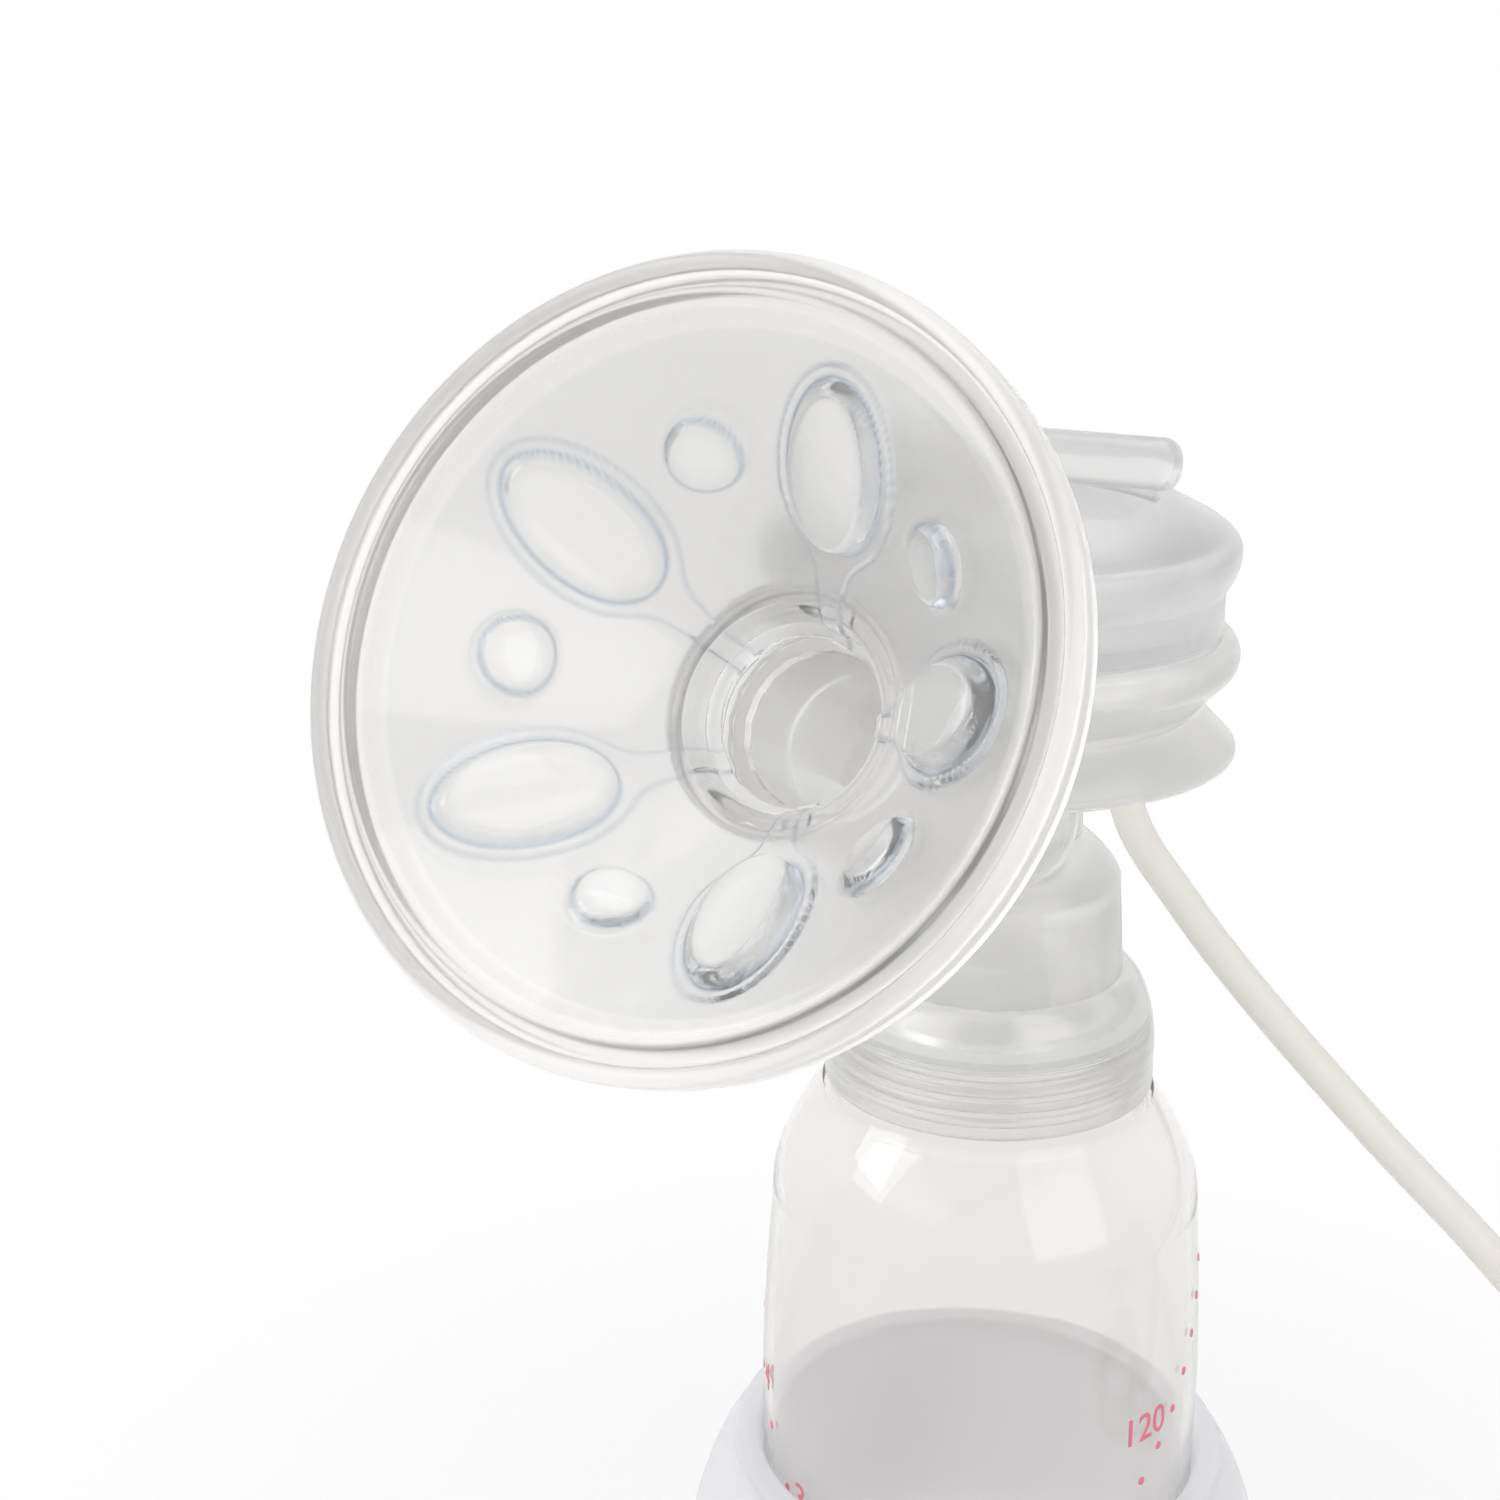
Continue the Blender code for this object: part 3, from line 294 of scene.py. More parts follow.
def satin(name, pale, deep, rough, grainScale):   # opaque ink and strap
    material, nodes, links, shader = newMaterial(name)
    place = nodes.new("ShaderNodeTexCoord")
    cloud = noiseNode(nodes, links, place, grainScale, grainLook["satinDetail"])
    ramp = nodes.new("ShaderNodeValToRGB")
    for stop, position, colour in zip(ramp.color_ramp.elements, grainLook["satinStops"], (deep, pale)):
        stop.position, stop.color = position, (*colour, 1)
    links.new(cloud, ramp.inputs["Fac"])
    links.new(ramp.outputs["Color"], shader.inputs["Base Color"])
    links.new(rangeNode(nodes, links, cloud, (0, 1), rough).outputs["Result"], shader.inputs["Roughness"])
    links.new(bumpNode(nodes, links, cloud, grainLook["satinBump"]), shader.inputs["Normal"])
    return material


padSilicone = moulded("padSilicone")
sealSilicone = moulded("sealSilicone")
shieldPlastic = moulded("shieldPlastic")
capPlastic = moulded("capPlastic")
bodyPlastic = moulded("bodyPlastic")
bottlePlastic = moulded("bottlePlastic")
valveSilicone = moulded("valveSilicone")
hoseSilicone = moulded("hoseSilicone")
standPlastic = moulded("standPlastic")
scaleInk = satin("scaleInk", pale=(0.80, 0.20, 0.28), deep=(0.74, 0.17, 0.25), rough=(0.45, 0.6),
                 grainScale=2500)
tieStrap = satin("tieStrap", pale=(0.82, 0.82, 0.82), deep=(0.70, 0.70, 0.71), rough=(0.7, 0.9),
                 grainScale=1800)
print("materials made")

# camera at the photograph's viewing angle

cameraLook = dict(place=(0.1046, -0.2749, 0.2277), towards=(-0.4334, 0.8505, -0.298), lens=57.6, sensor=36,
                  near=0.01)
cameraData = bpy.data.cameras.new("photoCamera")
cameraData.lens = cameraLook["lens"]
cameraData.sensor_width = cameraLook["sensor"]
cameraData.clip_start = cameraLook["near"]
camera = bpy.data.objects.new("photoCamera", cameraData)
bpy.context.scene.collection.objects.link(camera)
camera.location = cameraLook["place"]
camera.rotation_euler = Vector(cameraLook["towards"]).to_track_quat("-Z", "Y").to_euler()
bpy.context.scene.camera = camera

# the tunnel's line, and the boxes that the frame gives for stand and bottle

tunnel = dict(tilt=26.0, elbow=127.4 * mm, radius=10.8 * mm, bore=8.8 * mm, length=57.5 * mm)
tunnelTilt = math.radians(tunnel["tilt"])
tunnelWay = Vector((0, -math.cos(tunnelTilt), math.sin(tunnelTilt)))
elbowPoint = Vector((0, 0, tunnel["elbow"]))
alongTunnel = Matrix.Translation(elbowPoint) @ Matrix.Rotation(math.radians(90 - tunnel["tilt"]), 4, "X")
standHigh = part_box("bottle_stand")[1]
bottleLow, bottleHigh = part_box("bottle")


def layAlongTunnel(piece):
    pickOnly(piece)
    piece.matrix_world = alongTunnel
    applyPlace()


# hose first: free run, coil and tail on one line; route in millimetres

hoseLook = dict(
    radius=2.5 * mm, floor=3.5 * mm, roundness=6,
    root=(0, 27.3 * mm, 163.2 * mm), nozzle=15.3 * mm, tilt=45.0,
    route=[(1.5, 45, 139), (5, 40, 117), (14.9, 36.8, 105.5), (26.4, 34.9, 94.3), (45.4, 33.7, 77.2),
           (61.5, 33.4, 63.4), (80, 32.6, 45), (95, 31.6, 26), (107, 30.6, 11.5), (118, 30.1, 5)],
    coilStart=(128 * mm, 30 * mm), coilRadius=29.5 * mm, turnStep=6.4 * mm, layerStep=5.6 * mm,
    turnsIn=1.6, climb=0.5, turnsOut=1.6, tail=38 * mm, level=13 * mm, fall=19 * mm, endHeight=3.7 * mm,
    spanSteps=10, turnSteps=40, tailSteps=20, length=0.80)
hoseLean = math.radians(hoseLook["tilt"])
hoseWay = Vector((0, math.cos(hoseLean), -math.sin(hoseLean)))   # the way the nozzle points


def catmullPoint(four, t):
    knots = [0]
    for a, b in zip(four, four[1:]):
        knots.append(knots[-1] + math.sqrt((b - a).length))
    at = knots[1] + (knots[2] - knots[1]) * t

    def mix(a, b, low, high):
        share = (at - low) / (high - low)
        return a * (1 - share) + b * share

    first = mix(four[0], four[1], knots[0], knots[1])
    second = mix(four[1], four[2], knots[1], knots[2])
    third = mix(four[2], four[3], knots[2], knots[3])
    early = mix(first, second, knots[0], knots[2])
    late = mix(second, third, knots[1], knots[3])
    return mix(early, late, knots[1], knots[2])


def freeRun():
    look = hoseLook
    start = Vector(look["root"]) + hoseWay * look["nozzle"]
    coilStart = Vector((*look["coilStart"], look["floor"]))
    through = [start, start + hoseWay * 2 * look["radius"]] + [Vector(p) * mm for p in look["route"]]
    through += [coilStart - Vector((2 * look["radius"], 0, 0)), coilStart]
    through = [through[0] * 2 - through[1]] + through + [through[-1] * 2 - through[-2]]
    line = []
    for four in zip(through, through[1:], through[2:], through[3:]):
        line += [catmullPoint(four, i / look["spanSteps"]) for i in range(look["spanSteps"])]
    return line + [coilStart]


def coilAndTail(coilStart):   # one layer winds inwards, climbs and winds out again
    look = hoseLook
    line = []
    centre = coilStart + Vector((2 * look["radius"], -look["coilRadius"], 0))
    turns = look["turnsIn"] + look["climb"] + look["turnsOut"]
    count = round(turns * look["turnSteps"])
    for i in range(count + 1):
        turn = turns * i / count
        inwards = min(turn, look["turnsIn"])
        outwards = max(turn - look["turnsIn"] - look["climb"], 0)
        lift = look["layerStep"] * easeStep((turn - look["turnsIn"]) / look["climb"])
        radius = look["coilRadius"] - look["turnStep"] * (inwards - outwards)
        angle = math.pi / 2 - math.tau * turn
        line.append(centre + Vector((radius * math.cos(angle), radius * math.sin(angle), lift)))
    angle = math.pi / 2 - math.tau * turns
    way = Vector((math.sin(angle), -math.cos(angle), 0))
    leave = line[-1].copy()
    for i in range(1, look["tailSteps"] + 1):
        along = look["tail"] * i / look["tailSteps"]
        down = (leave.z - look["endHeight"]) * easeStep((along - look["level"]) / look["fall"])
        line.append(leave + way * along - Vector((0, 0, down)))
    return line


hosePath = freeRun()
hosePath += coilAndTail(hosePath[-1])
suctionHose = tubeAlong("suctionHose", hosePath, hoseLook["radius"], hoseLook["roundness"])
wear(suctionHose, hoseSilicone)
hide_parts("hose", "hose_coil")
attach(suctionHose, "cap")
wear(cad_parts["hose_connector"], bodyPlastic)
wear(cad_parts["coil_tie"], tieStrap)
print("hose laid, points:", len(hosePath))

# bottle stand: cup and flared skirt

standLook = dict(cup=30.1 * mm, rim=3.8 * mm, edge=0.8 * mm, wall=1.8 * mm, floor=2.0 * mm, floorFlat=2 * mm,
                 flare=1.6 * mm, flareDrop=10.2 * mm)


def makeStand():
    look = standLook
    high, base, cup, edge, wall = standHigh[2], standHigh[0], look["cup"], look["edge"], look["wall"]
    rimOut = cup + look["rim"]
    flare = (base - look["flare"], high - look["flareDrop"])
    outline = [(0, look["floor"]), (cup - look["floorFlat"], look["floor"]), (cup, look["floor"])]
    outline += arcPoints((cup + edge, high - edge), edge, edge, 180, 90, 10)
    outline += arcPoints((rimOut - edge, high - edge), edge, edge, 90, 0, 10)
    outline += bendPoints((rimOut, high - edge), flare, (base, 0), 32)[1:]
    outline += bendPoints((base - wall, 0), (flare[0] - 2 * wall, flare[1]),
                          (cup + wall + gap, high - 2 * wall), 24)
    outline += [(cup + wall, high - 3 * wall), (cup + wall, 0), (0, 0)]
    stand = turnProfile("standShell", outline, 128, smoothAngle=30)
    wear(stand, standPlastic)
    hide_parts("bottle_stand")
    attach(stand, "stand")


makeStand()
print("stand turned")

# bottle: shell, neck thread and printed scale

bottleLook = dict(
    radius=29.8 * mm, topRadius=28.5 * mm, straight=48 * mm, corner=5 * mm, wall=1.4 * mm, neck=19 * mm,
    shoulder=75.3 * mm, shoulderTop=91.6 * mm, shoulderOut=21.95 * mm, pull=6.5 * mm,
    taperTop=1 * mm, taperIn=0.2 * mm, taperPull=10 * mm, taperPower=1.6,
    threadPitch=2.4 * mm, threadTurns=2.5, threadHeight=0.35 * mm, threadLow=93.4 * mm,
    threadSteps=96, threadTip=0.2, threadSwell=8, threadRoundness=3)


def bottleSkin(inset):
    look = bottleLook
    base, mouth = bottleLow[2], bottleHigh[2]
    neck, side, top = look["neck"] - inset, look["radius"] - inset, look["topRadius"] - inset
    straight = base + look["straight"]
    outline = [(neck, mouth), (neck, look["shoulderTop"] - inset)]
    outline += bendPoints((look["shoulderOut"] - inset, look["shoulderTop"] - look["wall"] / 2 - inset),
                          (top, look["shoulder"] + look["pull"]), (top, look["shoulder"]), 14)
    outline += bendPoints((top, look["shoulder"] - look["taperTop"]),
                          (side - look["taperIn"], straight + look["taperPull"]), (side, straight), 8)
    corner = look["corner"] - inset
    outline += arcPoints((side - corner, base + inset + corner), corner, corner, 0, -90, 10)
    outline.append((0, base + inset))
    return outline


def makeBottle():
    look = bottleLook
    half = look["wall"] / 2
    inner = bottleSkin(look["wall"])
    inner.reverse()
    outer = bottleSkin(0)
    lip = arcPoints((look["neck"] - half, bottleHigh[2] - half), half, half, 180, 0, 8)
    bottle = turnProfile("bottleShell", inner[:-1] + lip + outer[1:], 144, smoothAngle=40)
    wear(bottle, bottlePlastic)
    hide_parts("bottle")
    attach(bottle, "bottle")


def makeNeckThread():
    look = bottleLook
    turns, neck = look["threadTurns"], look["neck"]
    count = round(turns * look["threadSteps"])
    points = []
    for i in range(count + 1):
        angle = math.tau * turns * i / count
        points.append((neck * math.cos(angle), neck * math.sin(angle),
                       look["threadLow"] + look["threadPitch"] * turns * i / count))
    thread = tubeAlong("neckThread", points, look["threadHeight"], look["threadRoundness"])
    for i, knot in enumerate(thread.data.splines[0].points):   # thin at both ends
        knot.radius = min(1, look["threadTip"] + look["threadSwell"] * min(i, count - i) / count)
    pickOnly(thread)
    bpy.ops.object.convert(target="MESH")
    thread = bpy.context.object
    smoothShade(thread, 40)
    wear(thread, bottlePlastic)
    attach(thread, "bottle")


# printed marks: heights above the floor in millimetres, turns about the bottle in degrees from +X

scaleMarks = dict(
    textSize=5.6 * mm, dot=0.55 * mm, dotSides=20, proud=0.06 * mm, smoothness=4,
    columns=[dict(turn=-23.0, start=43.7, slant=1.6, shift=-6.2 * mm,
                  texts={51.7: "120", 36.1: "80", 20.5: "40"}, step=3.9, low=20.5, count=13),
             dict(turn=-126.0, start=36.7, slant=-1.8, shift=3.2 * mm,
                  texts={48.9: "4", 36.7: "3", 24.5: "2", 12.3: "1"}, step=6.1, low=12.3, count=8)])


def bottleRadiusAt(height):
    look = bottleLook
    low = bottleLow[2] + look["straight"]
    if height <= low:
        return look["radius"]
    share = (height - low) / (look["shoulder"] - low)
    return look["radius"] + (look["topRadius"] - look["radius"]) * share ** look["taperPower"]


def wrapOnBottle(piece, turn, height):
    for v in piece.data.vertices:
        across, up = v.co.x, v.co.y
        z = height + up
        radius = bottleRadiusAt(z) + scaleMarks["proud"] * (1 if v.co.z > 0 else -1)
        angle = math.radians(turn) + across / radius
        v.co = (radius * math.cos(angle), radius * math.sin(angle), z)


def makeMark(name, text, turn, height, shift):
    look = scaleMarks
    deselectAll()
    if text:
        bpy.ops.object.text_add(location=(0, 0, 0))
        words = bpy.context.object.data
        words.body = text
        words.size = look["textSize"]
        words.align_x = "CENTER"
        words.align_y = "CENTER"
        words.extrude = look["proud"] / 2
        words.resolution_u = look["smoothness"]
        bpy.ops.object.convert(target="MESH")
    else:
        bpy.ops.mesh.primitive_cylinder_add(vertices=look["dotSides"], radius=look["dot"],
                                            depth=look["proud"])
    piece = bpy.context.object
    piece.name = name
    for v in piece.data.vertices:
        v.co.x += shift
    wrapOnBottle(piece, turn, height)
    wear(piece, scaleInk)
    return piece


def makeScale():
    made = []
    for column in scaleMarks["columns"]:
        for i in range(column["count"]):
            height = round(column["low"] + column["step"] * i, 1)
            turn = column["turn"] + column["slant"] * max(height - column["start"], 0)
            made.append(makeMark("scaleDot", "", turn, height * mm, 0))
            if height in column["texts"]:
                text = column["texts"][height]
                made.append(makeMark("scaleText", text, turn, height * mm, column["shift"]))
    deselectAll()
    for piece in made:
        piece.select_set(True)
    bpy.context.view_layer.objects.active = made[0]
    bpy.ops.object.join()
    scale = bpy.context.object
    scale.name = "volumeScale"
    applyPlace()
    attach(scale, "bottle")


makeBottle()
makeNeckThread()
makeScale()
print("bottle made")

# pump body: collar, neck, elbow, tunnel and diaphragm cup

bodyLook = dict(
    collarLow=91.9 * mm, collarBore=19.7 * mm, collar=21.65 * mm, collarStraight=5.2 * mm,
    collarEdge=0.5 * mm, shoulder=10.6 * mm, ledge=101.9 * mm,
    ripple=0.45 * mm, ripples=4, rippleTop=0.42, rippleHalf=0.34,
    neck=17.1 * mm, neckTop=16.3 * mm, neckTopAt=121.6 * mm, neckWall=1.9 * mm,
    roofIn=2.4 * mm, roofDown=4.6 * mm,
    cone=11.2 * mm, coneTop=126.2 * mm, coneIn=0.6 * mm, coneUp=0.8 * mm, coneDown=1.2 * mm,
    stem=8.5 * mm, stemRound=2.4 * mm, cupBase=137.6 * mm, cupTop=153.2 * mm,
    flange=29.7 * mm, flangeEdge=1.8 * mm,
    notch=24.6 * mm, notchUp=6.9 * mm, notchOut=0.8 * mm, notchHalf=1.2 * mm,
    ring=29.6 * mm, ringHigh=5.4 * mm, skirt=27.4 * mm, cupBore=22.4 * mm, cupFloor=3.4 * mm,
    cupFloorRadius=17.9 * mm, floorOut=1.2 * mm, floorUp=1 * mm, floorIn=1.5 * mm,
    pipe=6.6 * mm, pipeBore=5.0 * mm, pipeEnd=98.4 * mm, pipeOut=3 * mm, pipeDown=4 * mm,
    airPort=3.2 * mm, swell=0.4 * mm, past=5 * mm)


def bodyOutline():
    look = bodyLook
    cupTop, cupBase, notch, stem = look["cupTop"], look["cupBase"], look["notch"], look["stem"]
    halfRing, edge, corner = look["ringHigh"] / 2, look["flangeEdge"] / 2, look["collarEdge"]
    notchAt = cupBase + look["notchUp"]
    skirt = look["skirt"]
    outline = [(0, cupTop), (skirt, cupTop)]
    outline += arcPoints((skirt, cupTop - halfRing), look["ring"] - skirt, halfRing, 70, -50, 14)
    outline += bendPoints((notch + 2 * look["notchOut"], notchAt + look["notchHalf"]), (notch, notchAt),
                          (notch + look["notchOut"], notchAt - look["notchHalf"]), 6)
    outline += arcPoints((look["flange"] - edge, cupBase + edge), edge, edge, 60, -90, 12)
    outline += bendPoints((stem + look["stemRound"], cupBase), (stem, cupBase),
                          (stem, cupBase - look["stemRound"]), 6)
    outline += [(stem, tunnel["elbow"])]
    outline += bendPoints((look["cone"], look["coneTop"]),
                          (look["neckTop"] - look["coneIn"], look["neckTopAt"] + look["coneUp"]),
                          (look["neckTop"], look["neckTopAt"] - look["coneDown"]), 6)
    shoulder = (look["neck"], look["collarLow"] + look["collarStraight"])
    outline += arcPoints(shoulder, look["collar"] - look["neck"], look["shoulder"], 90, 0, 20)
    outline += arcPoints((look["collar"] - corner, look["collarLow"] + corner), corner, corner, 0, -90, 4)
    outline.append((0, look["collarLow"]))
    return outline


def collarHollow():   # what the bottle's neck goes into, round the milk pipe
    look = bodyLook
    pipe, bore = look["pipe"], look["neckTop"] - look["neckWall"]
    roof = look["neckTopAt"] - look["neckWall"]
    low = look["collarLow"] - look["past"]
    outline = [(0, look["pipeEnd"]), (pipe, look["pipeEnd"])]
    outline += bendPoints((pipe, look["neckTopAt"] - look["pipeDown"]), (pipe, roof),
                          (pipe + look["pipeOut"], roof), 4)
    outline += bendPoints((bore - look["roofIn"], roof), (bore, roof),
                          (bore, look["neckTopAt"] - look["roofDown"]), 6)
    outline += [(bore, look["ledge"])]
    wide = look["collarBore"]
    rippleStep = (look["ledge"] - look["collarLow"]) / (look["ripples"] + 1)
    rippleHalf = rippleStep * look["rippleHalf"]
    for i in range(look["ripples"]):
        middle = look["ledge"] - rippleStep * (i + 1)
        outline += [(wide, middle + rippleStep * look["rippleTop"])]
        outline += arcPoints((wide, middle), look["ripple"], rippleHalf, 90, -90, 8)
    outline += [(wide, low), (0, low)]
    return outline


def cupHollow():
    look = bodyLook
    above, floorRadius = look["cupTop"] + look["past"], look["cupFloorRadius"]
    floorAt = look["cupBase"] + look["cupFloor"]
    outline = [(0, above), (look["cupBore"], above), (look["cupBore"], look["cupBase"] + look["notchUp"])]
    outline += bendPoints((floorRadius + look["floorOut"], floorAt + look["floorUp"]), (floorRadius, floorAt),
                          (floorRadius - look["floorIn"], floorAt), 4)
    outline.append((0, floorAt))
    return outline


def makeBody():
    look = bodyLook
    tunnelEnd = elbowPoint + tunnelWay * tunnel["length"]
    boreEnd = tunnelEnd + tunnelWay * look["past"]
    pipeLow = Vector((0, 0, look["pipeEnd"] - look["past"]))
    portTop = Vector((0, 0, look["cupBase"] + look["cupFloor"] + look["past"]))
    body = turnProfile("bodyShell", bodyOutline(), 128)
    joinOrCut(body, ball("elbowForm", tunnel["radius"] + look["swell"], elbowPoint), "UNION")
    joinOrCut(body, roundBar("tunnelForm", tunnel["radius"], elbowPoint, tunnelEnd, 96), "UNION")
    joinOrCut(body, turnProfile("collarHollow", collarHollow(), 128), "DIFFERENCE")
    joinOrCut(body, turnProfile("cupHollow", cupHollow(), 128), "DIFFERENCE")
    joinOrCut(body, ball("elbowBore", tunnel["bore"] + look["swell"], elbowPoint), "DIFFERENCE")
    joinOrCut(body, roundBar("tunnelBore", tunnel["bore"], elbowPoint, boreEnd, 96), "DIFFERENCE")
    joinOrCut(body, roundBar("milkBore", look["pipeBore"], pipeLow, elbowPoint, 64), "DIFFERENCE")
    joinOrCut(body, roundBar("airBore", look["airPort"], elbowPoint, portTop, 48), "DIFFERENCE")
    smoothShade(body, 32)
    wear(body, bodyPlastic)
    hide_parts("pump_body")
    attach(body, "pump_body")


makeBody()
print("pump body made")

# cap: dome, grip bar on its web, hose nozzle

capLook = dict(
    skirt=27.4 * mm, skirtHigh=5.2 * mm, base=153.5 * mm, wall=1.8 * mm, rimAt=163.4 * mm, rim=29.1 * mm,
    rimOut=0.4 * mm, rimUp=1.7 * mm, rimDown=0.6 * mm, tuckIn=0.2 * mm, tuckDown=2.4 * mm,
    top=172.2 * mm, crown=14 * mm, brow=20 * mm, browDrop=1.9 * mm, browThin=0.4,
    cheek=26.4 * mm, cheekDrop=5.2 * mm, cheekThin=0.8, insideShare=0.8, insideTop=0.2 * mm,
    grip=3.2 * mm, gripRight=21.8 * mm, gripLeft=15 * mm, gripAt=174.9 * mm, gripRound=1.9 * mm,
    web=2.6 * mm, webInset=2.4 * mm, webUp=3.4 * mm, webRound=0.6 * mm,
    nozzle=3.6 * mm, nozzleLong=11 * mm, nozzleRound=0.8 * mm,
    tip=2.4 * mm, tipLong=4 * mm, tipRound=0.4 * mm)


def capSkin(inset):
    look = capLook
    top = look["top"] - inset
    outline = bendPoints((0, top), (look["crown"], top),
                         (look["brow"] - inset * look["browThin"], top - look["browDrop"]), 8)
    outline += bendPoints((look["cheek"] - inset * look["cheekThin"], top - look["cheekDrop"]),
                          (look["rim"] + look["rimOut"] - inset, look["rimAt"] + look["rimUp"]),
                          (look["rim"] - inset, look["rimAt"]), 8)
    return outline


def makeGrip():   # bar on its web, cut to stand on the dome
    look = capLook
    left = Vector((-look["gripLeft"], 0, look["gripAt"]))
    right = Vector((look["gripRight"], 0, look["gripAt"]))
    webFoot = look["rimAt"] + look["webUp"]
    webLong = look["gripLeft"] + look["gripRight"] - 2 * look["webInset"]
    middle = ((look["gripRight"] - look["gripLeft"]) / 2, 0, (look["gripAt"] + webFoot) / 2)
    deselectAll()
    bpy.ops.mesh.primitive_cube_add(size=1, location=middle)
    web = bpy.context.object
    web.scale = (webLong, look["web"], look["gripAt"] - webFoot)
    applyPlace()
    roundEdges(web, look["webRound"], 3)
    inside = capSkin(look["wall"] * look["insideShare"]) + [(0, look["rimAt"])]
    joinOrCut(web, turnProfile("capInside", inside, 96), "DIFFERENCE")
    joinOrCut(web, roundBar("gripForm", look["grip"], left, right, 48, look["gripRound"]), "UNION")
    return web


def makeCap():
    look = capLook
    skirt, base, skirtIn = look["skirt"], look["base"], look["skirt"] - look["wall"]
    skirtTop = base + look["skirtHigh"]
    outer = capSkin(0)
    outer += bendPoints((look["rim"], look["rimAt"] - look["rimDown"]),
                        (look["rim"] - look["tuckIn"], look["rimAt"] - look["tuckDown"]),
                        (skirt, skirtTop), 6)
    outer += [(skirt, base), (skirtIn, base), (skirtIn, skirtTop)]
    inner = capSkin(look["wall"])
    inner.reverse()
    cap = turnProfile("capShell", outer + inner, 128)
    joinOrCut(cap, makeGrip(), "UNION")
    root = Vector(hoseLook["root"])
    bossEnd = root + hoseWay * look["nozzleLong"]
    boss = roundBar("nozzleForm", look["nozzle"], root, bossEnd, 48, look["nozzleRound"])
    insideLow, insideTop = (0, 0, base - look["nozzle"]), (0, 0, look["rimAt"] - look["insideTop"])
    joinOrCut(boss, roundBar("nozzleInside", skirtIn, insideLow, insideTop, 96), "DIFFERENCE")
    joinOrCut(cap, boss, "UNION")
    tipStart, tipEnd = bossEnd - hoseWay * look["nozzle"], bossEnd + hoseWay * look["tipLong"]
    joinOrCut(cap, roundBar("nozzleTip", look["tip"], tipStart, tipEnd, 32, look["tipRound"]), "UNION")
    smoothShade(cap, 32)
    wear(cap, capPlastic)
    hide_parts("diaphragm_cap")
    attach(cap, "cap")


makeCap()
print("cap made")

# diaphragm, seals and valve

diaphragmLook = dict(
    outer=25.3 * mm, inner=22.7 * mm, low=153.5 * mm, high=155.7 * mm, floor=147.0 * mm, skin=1.0 * mm,
    bowl=21.8 * mm, flat=15.7 * mm, flatRound=2 * mm, topOut=1.6 * mm, topUp=1.8 * mm, underOut=2.4 * mm,
    underUp=2.2 * mm)


def makeDiaphragm():
    look = diaphragmLook
    skin, low, high, bowl = look["skin"], look["low"], look["high"], look["bowl"]
    floor, flat = look["floor"], look["flat"]
    floorTop = floor + skin
    outline = [(0, floorTop)]
    outline += bendPoints((flat - look["flatRound"], floorTop), (flat, floorTop),
                          (flat + look["topOut"], floorTop + look["topUp"]), 6)
    outline += [(bowl - skin, low), (look["inner"], high), (look["outer"], high), (look["outer"], low)]
    outline += [(bowl, low), (bowl - skin / 2, low - skin)]
    outline += bendPoints((flat + look["underOut"], floor + look["underUp"]), (flat + skin / 2, floor),
                          (flat - look["flatRound"], floor), 6)
    outline.append((0, floor))
    skinPiece = turnProfile("diaphragmSkin", outline, 96)
    wear(skinPiece, valveSilicone)
    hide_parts("diaphragm")
    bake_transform(skinPiece)


valveLook = dict(bore=6.9 * mm, outer=8.2 * mm, top=109.0 * mm, end=97.0 * mm, pipeBore=5.0 * mm,
                 foot=98.3 * mm, edge=0.5 * mm, footUp=0.4 * mm, endIn=1.6 * mm)


def makeValve():
    look = valveLook
    bore, outer, pipeBore = look["bore"], look["outer"], look["pipeBore"]
    end, edge, seat = look["end"], look["edge"], look["foot"] - gap
    outline = [(bore, look["top"])]
    outline += arcPoints((outer - edge, look["top"] - edge), edge, edge, 90, 0, 4)
    outline += bendPoints((outer, look["foot"] + look["footUp"]), (outer, end),
                          (outer - look["endIn"], end), 5)
    outline += [(pipeBore, end), (pipeBore, seat), (bore, seat)]
    valve = turnProfile("valveSleeve", outline, 72, closed=True)
    wear(valve, valveSilicone)
    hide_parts("duckbill_valve")
    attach(valve, "pump_body")
    for node in ("valve_lip_front", "valve_lip_rear", "collar_gasket"):
        wear(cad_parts[node], valveSilicone)
    wear(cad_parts["tunnel_seal"], sealSilicone)


makeDiaphragm()
makeValve()
print("diaphragm and valve made")

# breast shield and massage pad, modelled upright and then laid along the tunnel

